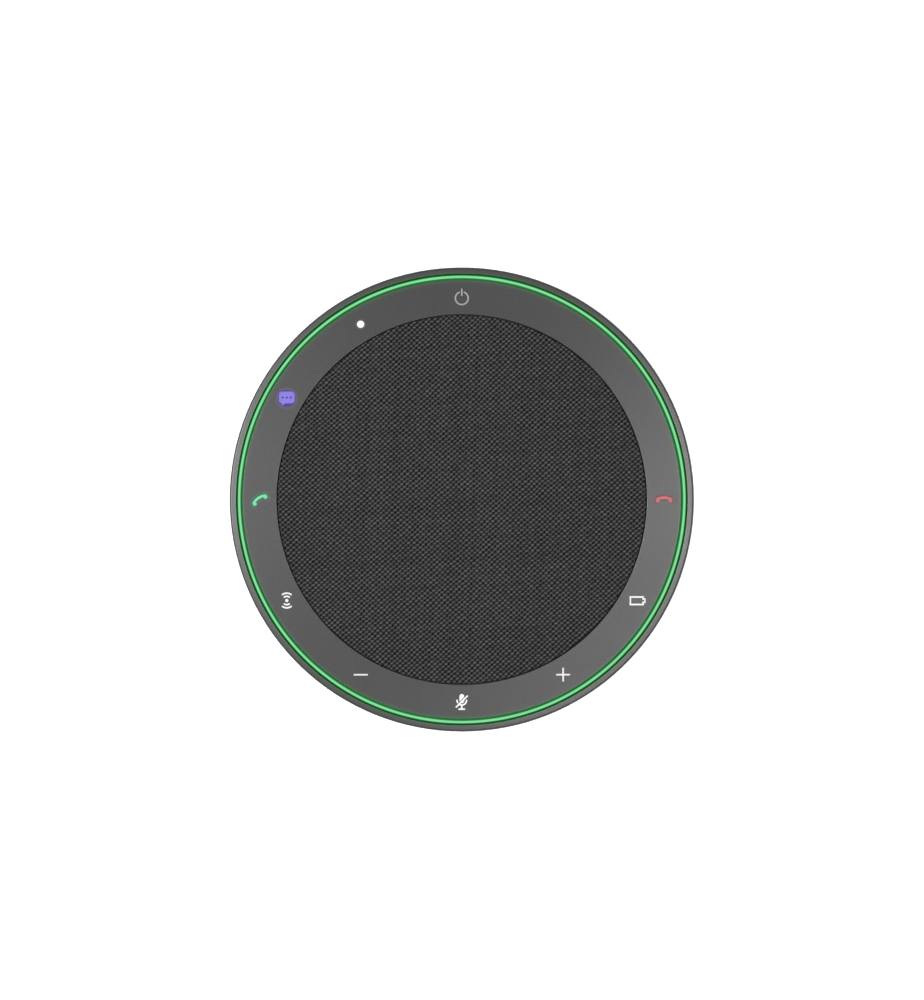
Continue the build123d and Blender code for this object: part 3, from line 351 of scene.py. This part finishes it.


# ---- the key panel: soft-touch coating, with a faint glow painted round some of the lit marks and the ring's light painted along its outer edge
panelLook = {
    "colour": (0.0165, 0.017, 0.0165),
    "cloudSize": 14.0,
    "grainSize": 0.16,
    "grainDepth": 0.005,
    "roughness": 0.29,
    "specular": 0.5,
    # key, painted glow colour, how far the coat is darkened and roughened under the glow, and in millimetres
    # from the key's middle where the glow is full and where it has faded
    "paintedHalos": [
        ("chat_key", (0.035, 0.022, 0.19), 0.85, 1.9, 3.4),
        ("smart_key", (0.07, 0.07, 0.07), 0.0, 0.9, 1.7),
    ],
    # key, painted glow colour, how far the coat is darkened and roughened under the glow, and the handset's
    # bow: its middle as seen from the key's middle, and its radius
    "paintedBowHalos": [
        ("answer_key", (0.0, 0.17, 0.06), 1.0, (1.99, -3.16), 4.3),
        ("hang_up_key", (0.13, 0.025, 0.028), 0.5, (0.11, -3.77), 4.3),
    ],
    "bowReach": (0.4, 1.35),    # from the bow's line to where the glow starts to fade and where it has faded
    "bowEnds": (2.3, 3.4),      # the same from the key's middle
    # roughness added, and the near-black colour painted, under the painted glow round the lit marks
    "haloRoughening": 0.55,
    "darkenedCoat": (0.001, 0.001, 0.001),
    # green emission painted along the panel's outer edge, standing in for the ring's light
    "paintedRingSpill": {"colour": (0.004, 0.1, 0.012), "edge": 62.55, "reach": 0.33},
}


def keyMiddle(name):
    low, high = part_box(name)
    return Vector(((low.x + high.x) / 2, (low.y + high.y) / 2, (low.z + high.z) / 2))


def panelMaterial():
    look = panelLook
    made, tree, shader, place = newMaterial("softTouch")
    broad = noise(tree, place, look["cloudSize"], 2.0)
    grain = noise(tree, place, look["grainSize"], 2.0, 0.6)
    tint = ramp(tree, broad, [(0.3, shade(look["colour"], 0.95)), (0.7, shade(look["colour"], 1.05))])
    speck = ramp(tree, grain, [(0.25, (0.86, 0.86, 0.86)), (0.75, (1.0, 1.0, 1.0))])
    coat = mixColour(tree, 1.0, tint, speck, "MULTIPLY")
    gloss = remap(tree, grain, look["roughness"] - 0.03, look["roughness"] + 0.05)

    # painted light: emission round the lit marks and along the outer edge stands in for light from the keys
    # and the ring; under the glow the coat is painted darker and made rougher
    glow = paintedRingSpill(tree, place, look["paintedRingSpill"], 1.0)
    fades = [(softStep(tree, flatRadius(tree, place, keyMiddle(key)), near, far), colour, coatDarkening)
             for key, colour, coatDarkening, near, far in look["paintedHalos"]]
    for key, colour, coatDarkening, middle, radius in look["paintedBowHalos"]:
        at = keyMiddle(key)
        bow = flatRadius(tree, place, at + Vector((*middle, 0.0)) * mm)
        beside = calc(tree, "ABSOLUTE", calc(tree, "SUBTRACT", bow, radius))
        fades.append((calc(tree, "MULTIPLY", softStep(tree, beside, *look["bowReach"]),
                           softStep(tree, flatRadius(tree, place, at), *look["bowEnds"])), colour, coatDarkening))
    for fade, colour, coatDarkening in fades:
        glow = mixColour(tree, 1.0, glow, mixColour(tree, fade, (0.0, 0.0, 0.0), colour), "ADD")
        gloss = calc(tree, "MULTIPLY_ADD", fade, coatDarkening * look["haloRoughening"], gloss)
        coat = mixColour(tree, calc(tree, "MULTIPLY", fade, coatDarkening), coat, look["darkenedCoat"])
    tree.links.new(coat, shader.inputs["Base Color"])
    tree.links.new(gloss, shader.inputs["Roughness"])
    tree.links.new(bump(tree, grain, look["grainDepth"]), shader.inputs["Normal"])
    shader.inputs["Specular IOR Level"].default_value = look["specular"]
    tree.links.new(glow, shader.inputs["Emission Color"])
    shader.inputs["Emission Strength"].default_value = 1.0
    return made


finish["softTouch"] = panelMaterial()


# ---- the lit keys: milky plastic lit from below, a little stronger towards the lamp
keyGlow = {
    "power_key": {"glow": (0.33, 0.34, 0.33)},
    "smart_key": {"glow": (0.88, 0.89, 0.88)},
    "chat_key": {"glow": (0.2, 0.15, 0.66), "dotDepth": 31.95},
    "answer_key": {"glow": (0.17, 0.62, 0.34)},
    "pairing_key": {"glow": (0.84, 0.85, 0.84)},
    "volume_down_key": {"glow": (0.72, 0.73, 0.72)},
    "mute_key": {"glow": (0.88, 0.88, 0.87)},
    "volume_up_key": {"glow": (0.75, 0.74, 0.74)},
    "battery_key": {"glow": (0.82, 0.82, 0.82)},
    "hang_up_key": {"glow": (0.5, 0.13, 0.15)},
}
# the lamp's light falls to dim between the two radii of fadeReach, and the sunk dots keep dotShare of it
keyPlastic = {"share": 0.09, "roughness": 0.5, "specular": 0.3, "dim": 0.9, "fadeReach": (0.8, 2.8),
              "milk": 0.9, "dotShare": 0.22}


def keyMaterial(key, look):
    made, tree, shader, place = newMaterial("lit_" + key)
    away = flatRadius(tree, place, keyMiddle(key))
    milk = noise(tree, place, keyPlastic["milk"], 2.0)
    fade = calc(tree, "MULTIPLY", remap(tree, away, 1.0, keyPlastic["dim"], *keyPlastic["fadeReach"]),
                remap(tree, milk, 0.97, 1.03))
    if "dotDepth" in look:     # the sunk dots are masked from the lamp
        height = addNode(tree, "ShaderNodeSeparateXYZ", {"Vector": place}).outputs["Z"]
        raised = calc(tree, "GREATER_THAN", height, look["dotDepth"] * mm)
        fade = calc(tree, "MULTIPLY", fade, remap(tree, raised, keyPlastic["dotShare"], 1.0, 0.0, 1.0))
    tree.links.new(scaled(tree, look["glow"], fade), shader.inputs["Emission Color"])
    base = shade(look["glow"], keyPlastic["share"])
    tree.links.new(ramp(tree, milk, [(0.3, shade(base, 0.85)), (0.7, base)]), shader.inputs["Base Color"])
    shader.inputs["Emission Strength"].default_value = 1.0
    shader.inputs["Roughness"].default_value = keyPlastic["roughness"]
    shader.inputs["Specular IOR Level"].default_value = keyPlastic["specular"]
    return made


for key, look in keyGlow.items():
    dressNode(key, keyMaterial(key, look))
print("keys lit:", len(keyGlow))


# ---- the light ring: a bright rib between flanks painted darker green as the groove's shade, with a faint beat from its lamps
ringLook = {
    "core": (0.225, 0.715, 0.325),
    "edge": (0.1, 0.45, 0.16),
    # the flanks' darker greens are painted shade of the groove over the ring's own green light
    "innerFlankShade": (0.012, 0.13, 0.03),
    "outerFlankShade": (0.001, 0.085, 0.008),
    "unlit": (0.01, 0.04, 0.015),
    "unlitEdgeShade": (0.002, 0.02, 0.005),
    "channel": (62.6, 64.4),
    "ribInner": 63.075,
    "ribOuter": 63.875,
    "lamps": 24,
    "beat": 0.04,
}


def ringMaterial():
    look = ringLook
    made, tree, shader, place = newMaterial("litRing")
    away = flatRadius(tree, place)
    start, end = look["channel"]
    where = remap(tree, away, 0.0, 1.0, start, end)

    def stop(radius):
        return (radius - start) / (end - start)

    inner, outer = look["ribInner"], look["ribOuter"]
    # the flanks glow less: painted shade, for the shoulders lie in the shadow of the panel's and the rim's
    # walls
    colour = ramp(tree, where, [
        (0.0, look["innerFlankShade"]),
        (stop(inner - 0.03), look["innerFlankShade"]),
        (stop(inner + 0.05), look["edge"]),
        (stop(inner + 0.2), look["core"]),
        (stop(outer - 0.2), look["core"]),
        (stop(outer - 0.05), look["edge"]),
        (stop(outer + 0.03), look["outerFlankShade"]),
    ])
    parts = addNode(tree, "ShaderNodeSeparateXYZ", {"Vector": place}).outputs
    angle = calc(tree, "ARCTAN2", parts["Y"], parts["X"])
    beat = calc(tree, "COSINE", calc(tree, "MULTIPLY_ADD", angle, float(look["lamps"]), math.pi))
    level = remap(tree, beat, 1.0 - look["beat"], 1.0, -1.0, 1.0)
    tree.links.new(scaled(tree, colour, level), shader.inputs["Emission Color"])
    # the unlit colour is painted darker towards the channel's edges, as shade in the groove
    unlit = [(0.0, look["unlitEdgeShade"]), (0.5, look["unlit"]), (1.0, look["unlitEdgeShade"])]
    tree.links.new(ramp(tree, where, unlit), shader.inputs["Base Color"])
    shader.inputs["Emission Strength"].default_value = 1.0
    shader.inputs["Roughness"].default_value = 0.6
    shader.inputs["Specular IOR Level"].default_value = 0.06
    return made


dressNode("light_ring", ringMaterial())


# ---- the grille cloth: plain weave of melange yarn, with the weave's relief also painted into the yarn's colour as light and shade
clothLook = {
    "warpPitch": 0.8194,    # threads side by side, nearly along X
    "weftPitch": 0.7287,    # and nearly along Y
    "warpTurn": -1.45,      # the cloth is stretched a little out of square, in degrees
    "weftTurn": 2.4,
    "relief": 0.2,
    "slant": 0.59,          # share of the relief that runs along the twist, the rest runs across it
    "flatRadius": 52.1,     # where the woven field turns into the rolled edge
    "crownRise": 1.15,      # the crown falls by this much
    "crownRadius": 52.05,   # at this radius
    "sink": 0.02,           # from the node's top and bottom to the threads
    "lining": 0.42,         # from the crown down to the cloth's inner face
    "liningShares": (0.97, 0.8, 0.6, 0.4, 0.2, 0.05),
    "rim": [(52.25, -0.015), (52.38, -0.05), (52.46, -0.12), (52.5, -0.28), (52.52, -0.8), (52.52, -1.8)],
    "hem": [(52.42, 0.0), (52.25, 0.0)],
    "yarn": (0.0181, 0.0181, 0.0184),
    "paintedReliefShade": 0.84,
    "warpShade": -0.095,
    "weftShade": 0.125,
    "wanderSize": 3.5,      # the threads sway over this length
    "wander": 0.7,          # by up to about half of this
    "threadSpread": 0.1,
    "crossingSpread": 0.24,
    "patchSize": 2.2,
    "patchRange": (0.8, 1.2),
    "fibreSize": 0.14,
    "fibreSpread": 0.1,
    "darkest": 0.12,
    "power": 1.93,
}


def clothCrown(radius, top, edgeRise, edgeRadius):
    ball = (edgeRadius ** 2 + edgeRise ** 2) / (2 * edgeRise)
    return top - ball + math.sqrt(ball ** 2 - radius ** 2)


def threadCounts():
    # threads crossed by one millimetre along X and along Y, first for the warp and then for the weft
    warp, weft = math.radians(clothLook["warpTurn"]), math.radians(clothLook["weftTurn"])
    return ((math.cos(warp) / clothLook["warpPitch"], math.sin(warp) / clothLook["warpPitch"]),
            (-math.sin(weft) / clothLook["weftPitch"], math.cos(weft) / clothLook["weftPitch"]))


def crossingPlace(u, v):
    (ux, uy), (vx, vy) = threadCounts()
    spread = ux * vy - uy * vx
    return (vy * u - uy * v) / spread, (ux * v - vx * u) / spread


def weaveHeight(x, y):
    # every second crossing stands proud, and the yarn's twist joins the proud ones along one diagonal
    u, v = [x * alongX + y * alongY for alongX, alongY in threadCounts()]
    slant = clothLook["slant"]
    return slant * math.cos(math.pi * (u - v)) + (1.0 - slant) * math.cos(math.pi * (u + v))


def makeCloth():
    look = clothLook
    low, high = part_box("grille_cloth")
    top = high.z / mm - look["sink"]
    crown = {"top": top, "edgeRise": look["crownRise"], "edgeRadius": look["crownRadius"]}
    # two faces a thread each way, laid out by thread numbers first, with eight faces to spare at each side
    countX = 4 * math.ceil(look["flatRadius"] / look["warpPitch"]) + 16
    countY = 4 * math.ceil(look["flatRadius"] / look["weftPitch"]) + 16
    bpy.ops.mesh.primitive_grid_add(x_subdivisions=countX, y_subdivisions=countY, size=1.0)
    cloth = bpy.context.object
    cloth.name = "wovenCloth"
    bpy.ops.object.mode_set(mode="EDIT")
    bpy.ops.transform.resize(value=(countX / 2 * mm, countY / 2 * mm, 1.0))
    bpy.ops.mesh.select_mode(type="FACE")
    sheet = bmesh.from_edit_mesh(cloth.data)
    reach = look["flatRadius"] * mm
    for vert in sheet.verts:
        vert.co.xy = Vector(crossingPlace(vert.co.x / mm, vert.co.y / mm)) * mm
    for face in sheet.faces:
        face.select = any(vert.co.xy.length > reach for vert in face.verts)
    bmesh.update_edit_mesh(cloth.data)
    bpy.ops.mesh.delete(type="FACE")
    # the stepped border is drawn out onto the circle where the roll begins
    sheet = bmesh.from_edit_mesh(cloth.data)
    for vert in sheet.verts:
        away = vert.co.xy.length
        if vert.is_boundary:
            vert.co.xy *= reach / away
            vert.co.z = clothCrown(look["flatRadius"], **crown) * mm - look["relief"] * mm * 0.5
        else:
            drop = look["relief"] * (0.5 - 0.5 * weaveHeight(vert.co.x / mm, vert.co.y / mm))
            vert.co.z = (clothCrown(away / mm, **crown) - drop) * mm
    bmesh.update_edit_mesh(cloth.data)
    bpy.ops.mesh.select_mode(type="EDGE")
    bpy.ops.mesh.select_all(action="DESELECT")
    bpy.ops.mesh.select_non_manifold(extend=False)
    base = clothCrown(look["flatRadius"], **crown) - look["relief"] * 0.5
    radius, height = look["flatRadius"], base
    bottom = low.z / mm + look["sink"]

    def nextLoop(newRadius, newHeight):
        nonlocal radius, height
        bpy.ops.mesh.extrude_edges_move()
        bpy.ops.transform.resize(value=(newRadius / radius, newRadius / radius, 1.0),
                                 center_override=(0, 0, 0))
        bpy.ops.transform.translate(value=(0, 0, (newHeight - height) * mm))
        radius, height = newRadius, newHeight

    for newRadius, fall in look["rim"]:
        nextLoop(newRadius, base + fall)
    for newRadius, lift in look["hem"]:
        nextLoop(newRadius, bottom + lift)
    # back up the inside of the hem, then in under the crown
    nextLoop(52.18, bottom + 0.5)
    nextLoop(52.16, base - 1.0)
    nextLoop(51.75, base - 0.5)
    for share in look["liningShares"]:
        inner = look["flatRadius"] * share
        nextLoop(inner, clothCrown(inner, **crown) - look["lining"])
    bpy.ops.mesh.merge(type="COLLAPSE")
    bpy.ops.mesh.select_all(action="SELECT")
    bpy.ops.mesh.normals_make_consistent(inside=False)
    bpy.ops.object.mode_set(mode="OBJECT")
    bpy.ops.object.shade_smooth()
    cloth.select_set(False)
    return cloth


def clothMaterial():
    look = clothLook
    made, tree, shader, place = newMaterial("wovenYarn")
    # the threads wander a little
    wander = addNode(tree, "ShaderNodeTexNoise", {"Vector": place, "Scale": 1000.0 / look["wanderSize"],
                                                  "Detail": 1.0})
    reach = look["wander"] * mm
    sway = addNode(tree, "ShaderNodeVectorMath", {0: wander.outputs["Color"], 1: (0.5, 0.5, 0.5)},
                   operation="SUBTRACT").outputs[0]
    bent = addNode(tree, "ShaderNodeVectorMath", {0: sway, 1: (reach, reach, 0.0), 2: place},
                   operation="MULTIPLY_ADD").outputs[0]
    parts = addNode(tree, "ShaderNodeSeparateXYZ", {"Vector": bent}).outputs
    u, v = [calc(tree, "MULTIPLY_ADD", parts["X"], alongX / mm,
                 calc(tree, "MULTIPLY", parts["Y"], alongY / mm))
            for alongX, alongY in threadCounts()]
    along = calc(tree, "COSINE", calc(tree, "MULTIPLY", calc(tree, "SUBTRACT", u, v), math.pi))
    across = calc(tree, "COSINE", calc(tree, "MULTIPLY", calc(tree, "ADD", u, v), math.pi))
    weave = calc(tree, "MULTIPLY_ADD", along, look["slant"],
                 calc(tree, "MULTIPLY", across, 1.0 - look["slant"]))

    # no two crossings are alike, single threads differ, and the twist tightens and loosens in patches
    cellU, cellV = calc(tree, "ROUND", u), calc(tree, "ROUND", v)
    cell = addNode(tree, "ShaderNodeCombineXYZ", {"X": cellU, "Y": cellV})
    chance = addNode(tree, "ShaderNodeTexWhiteNoise", {"Vector": cell.outputs[0]}).outputs["Value"]
    warpChance, weftChance = [
        addNode(tree, "ShaderNodeTexWhiteNoise", {"W": number}, noise_dimensions="1D").outputs["Value"]
        for number in (cellU, cellV)]
    threads = calc(tree, "MULTIPLY", calc(tree, "SUBTRACT", calc(tree, "ADD", warpChance, weftChance), 1.0),
                   look["threadSpread"])
    uneven = calc(tree, "MULTIPLY_ADD", calc(tree, "SUBTRACT", chance, 0.5), look["crossingSpread"], threads)
    depth = remap(tree, noise(tree, place, look["patchSize"], 1.0), *look["patchRange"], 0.32, 0.68)
    fibres = noise(tree, place, look["fibreSize"], 2.0, 0.6)
    # painted shade: the weave's relief darkens the yarn in the hollows and lightens it on the crossings
    toneAndShade = calc(tree, "MULTIPLY_ADD", calc(tree, "MULTIPLY", weave, depth), look["paintedReliefShade"], 1.0)
    # the brightness rises and falls once across each thread: darker at the warp threads' middles and lighter
    # at the weft threads' middles
    for thread, part in ((u, look["warpShade"]), (v, look["weftShade"])):
        beat = calc(tree, "COSINE", calc(tree, "MULTIPLY", thread, 2 * math.pi))
        toneAndShade = calc(tree, "MULTIPLY_ADD", beat, part, toneAndShade)
    fleck = remap(tree, fibres, -look["fibreSpread"], look["fibreSpread"])
    toneAndShade = calc(tree, "ADD", calc(tree, "ADD", toneAndShade, uneven), fleck)
    level = calc(tree, "POWER", calc(tree, "MAXIMUM", toneAndShade, look["darkest"]), look["power"])
    tree.links.new(scaled(tree, look["yarn"], level), shader.inputs["Base Color"])
    relief = bump(tree, weave, 0.07, 0.7)
    tree.links.new(bump(tree, fibres, 0.02, 0.6, relief), shader.inputs["Normal"])
    tree.links.new(remap(tree, fibres, 0.8, 0.95), shader.inputs["Roughness"])
    shader.inputs["Specular IOR Level"].default_value = 0.12
    shader.inputs["Sheen Weight"].default_value = 0.03
    shader.inputs["Sheen Roughness"].default_value = 0.5
    return made


cloth = makeCloth()
cloth.data.materials.append(clothMaterial())
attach(cloth, "housing")
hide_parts("grille_cloth")
print("cloth woven:", len(cloth.data.polygons), "faces")


# ---- the snap domes: each is a thin pressed cap that flattens under its own key
domeLook = {
    "sides": 40,
    "radius": 2.3,
    "sheet": 0.12,
    "keep": 0.26,       # share of the height that a pressed dome keeps
    "smoothBelow": 40,  # degrees
    # radius and share of the height of each pressed step
    "steps": [(2.22, 0.1), (2.05, 0.27), (1.84, 0.48), (1.5, 0.68), (1.15, 0.83), (0.8, 0.92), (0.45, 0.98),
              (0.3, 1.0), (0.12, 1.0)],
}


def makeDome(key):
    look = domeLook
    low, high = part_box("key_domes")
    at = keyMiddle(key)
    rise = high.z - low.z
    bpy.ops.mesh.primitive_circle_add(vertices=look["sides"], radius=look["radius"] * mm,
                                      location=(at.x, at.y, low.z))
    dome = bpy.context.object
    dome.name = "snapDome_" + key
    bpy.ops.object.transform_apply(location=True, rotation=True, scale=True)
    bpy.ops.object.mode_set(mode="EDIT")
    bpy.ops.mesh.select_mode(type="EDGE")
    bpy.ops.mesh.select_all(action="SELECT")
    radius, share = look["radius"], 0.0
    for newRadius, newShare in look["steps"]:
        bpy.ops.mesh.extrude_edges_move()
        bpy.ops.transform.resize(value=(newRadius / radius, newRadius / radius, 1.0),
                                 center_override=(at.x, at.y, 0))
        bpy.ops.transform.translate(value=(0, 0, (newShare - share) * rise))
        radius, share = newRadius, newShare
    bpy.ops.mesh.edge_face_add()
    bpy.ops.mesh.select_all(action="SELECT")
    bpy.ops.mesh.normals_make_consistent(inside=False)
    bpy.ops.object.mode_set(mode="OBJECT")
    solid = dome.modifiers.new("sheet", "SOLIDIFY")
    solid.thickness = look["sheet"] * mm
    solid.offset = -1.0
    bpy.ops.object.modifier_apply(modifier=solid.name)
    bpy.ops.object.shade_smooth_by_angle(angle=math.radians(look["smoothBelow"]))
    dome.data.materials.append(finish["springSteel"])
    dome.select_set(False)
    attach(dome, "housing")
    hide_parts("key_domes")
    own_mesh(dome)


for key in keyGlow:
    makeDome(key)
print("snap domes pressed:", len(keyGlow))


# ---- the driver's two springs, held at the basket and following the coil and the cone inside, are each cut into sectors
# rim and lip are the flat widths glued down outside and inside; each sector is cut at half a sector's angle
# either side of its own middle
flexLook = {
    "speaker_spider": {
        "finish": "dippedCotton", "slot": "spider_cloth", "rim": 1.6, "lip": 0.4, "sectors": 12,
    },
    "speaker_surround": {
        "finish": "surroundRubber", "slot": "seal_rubber", "rim": 1.3, "lip": 1.3, "sectors": 24,
    },
}


def makeFlex(name, look):
    node = nodes[name]
    half = math.pi / look["sectors"]
    for k in range(look["sectors"]):
        middle = 2 * half * k
        sector = bpy.data.objects.new(f"{name}_sector{k + 1}", node.data.copy())
        sector.data.transform(node.matrix_world)
        bpy.context.collection.objects.link(sector)
        bpy.context.view_layer.objects.active = sector
        sector.select_set(True)
        bpy.ops.object.mode_set(mode="EDIT")
        for edge, side in ((middle - half, 1), (middle + half, -1)):
            bpy.ops.mesh.select_all(action="SELECT")
            across = (-side * math.sin(edge), side * math.cos(edge), 0)
            bpy.ops.mesh.bisect(plane_co=(0, 0, 0), plane_no=across, use_fill=True, clear_inner=True)
        bpy.ops.object.mode_set(mode="OBJECT")
        sector.data.materials.clear()
        sector.data.materials.append(finish[look["finish"]])
        sector.select_set(False)
        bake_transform(sector)
        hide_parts(name)


for name, look in flexLook.items():
    makeFlex(name, look)
print("springs split to bend:", len(flexLook))


# ---- every other node gets its finish
nodeFinish = {
    "housingPlastic": ["upper_housing", "lower_housing"],
    "softTouch": ["key_panel"],
    "innerPlastic": ["mid_frame", "grille_plate", "usb_bezel", "usb_tongue"],
    "footRubber": ["rubber_foot"],
    "sealSilicone": ["case_seal", "mic_boots"],
    "labelPlastic": ["base_plate"],
    "foam": ["speaker_gasket", "battery_pads"],
    "whiteReflector": ["light_channel"],
    "chipPackage": ["main_chips"],
    "plugNylon": ["lead_plugs", "flex_connectors"],
    "phenolicBoard": ["speaker_terminals"],
    "redInsulation": ["battery_lead"],
    "blackInsulation": ["speaker_lead"],
    "shrinkSleeve": ["battery_sleeve"],
    "coatedPulp": ["speaker_cone", "speaker_dust_cap"],
    "basketPaint": ["speaker_frame"],
    "ferrite": ["speaker_magnet"],
    "lampClear": ["ring_leds", "key_leds"],
    "tinPlate": ["usb_socket", "shield_can"],
    "blackScrew": ["case_screws", "panel_screws", "speaker_screws", "board_screws"],
    "zincSteel": ["speaker_yoke", "speaker_top_plate"],
    "foilFormer": ["voice_coil_former"],
    "nickelCell": ["battery_cell"],
    "canAluminium": ["capacitors", "microphones"],
    "copperWinding": ["voice_coil_winding"],
    "mainBoard": ["main_board"],
    "keyBoard": ["key_board", "mic_cards"],
    "polyimideFilm": ["key_flex", "mic_flexes"],
}
for name, members in nodeFinish.items():
    for member in members:
        dressNode(member, finish[name])
print("nodes dressed")


# ---- floor and studio light
# a light table, lit faintly from below and open to a look from underneath
floorLook = {"size": 6.0, "colour": (0.86, 0.86, 0.855), "glow": 0.5, "gap": 0.05}
bpy.ops.mesh.primitive_plane_add(size=floorLook["size"], location=(0, 0, -floorLook["gap"] * mm))
floor = bpy.context.object
floor.name = "paleFloor"
made, tree, shader, place = newMaterial("paleFloor")
mottle = noise(tree, place, 60.0, 2.0)
tree.links.new(ramp(tree, mottle, [(0.3, shade(floorLook["colour"], 0.995)), (0.7, floorLook["colour"])]),
               shader.inputs["Base Color"])
shader.inputs["Roughness"].default_value = 0.9
shader.inputs["Specular IOR Level"].default_value = 0.1
shader.inputs["Emission Color"].default_value = (*floorLook["colour"], 1.0)
shader.inputs["Emission Strength"].default_value = floorLook["glow"]
under = addNode(tree, "ShaderNodeNewGeometry").outputs["Backfacing"]
clear = addNode(tree, "ShaderNodeBsdfTransparent").outputs["BSDF"]
oneSided = addNode(tree, "ShaderNodeMixShader", {0: under, 1: shader.outputs["BSDF"], 2: clear})
tree.links.new(oneSided.outputs["Shader"], tree.nodes["Material Output"].inputs["Surface"])
floor.data.materials.append(made)

# azimuth and tilt from straight up, in degrees; every light faces the unit
lights = [
    {"name": "rightBank", "azimuth": 0, "tilt": 20, "distance": 1.6, "size": 0.35, "power": 7.5},
    {"name": "leftBank", "azimuth": 172, "tilt": 32, "distance": 1.6, "size": 0.5, "power": 19.3},
    {"name": "leftSpot", "azimuth": 180, "tilt": 20, "distance": 1.6, "size": 0.35, "power": 2.4},
    {"name": "frontSpot", "azimuth": 297, "tilt": 20, "distance": 1.6, "size": 0.35, "power": 3.4},
]
for look in lights:
    azimuth, tilt = math.radians(look["azimuth"]), math.radians(look["tilt"])
    away = Vector((math.cos(azimuth) * math.sin(tilt), math.sin(azimuth) * math.sin(tilt), math.cos(tilt)))
    bpy.ops.object.light_add(type="AREA", location=away * look["distance"])
    lamp = bpy.context.object
    lamp.name = look["name"]
    lamp.data.shape = "DISK"
    lamp.data.size = look["size"]
    lamp.data.energy = look["power"]
    lamp.rotation_euler = away.to_track_quat("Z", "Y").to_euler()
worldLevel = 0.715
world = bpy.data.worlds.new("studio")
world.use_nodes = True
sky = world.node_tree.nodes["Background"]
sky.inputs["Color"].default_value = (1.0, 1.0, 1.0, 1.0)
sky.inputs["Strength"].default_value = worldLevel
bpy.context.scene.world = world
print("stage lit")
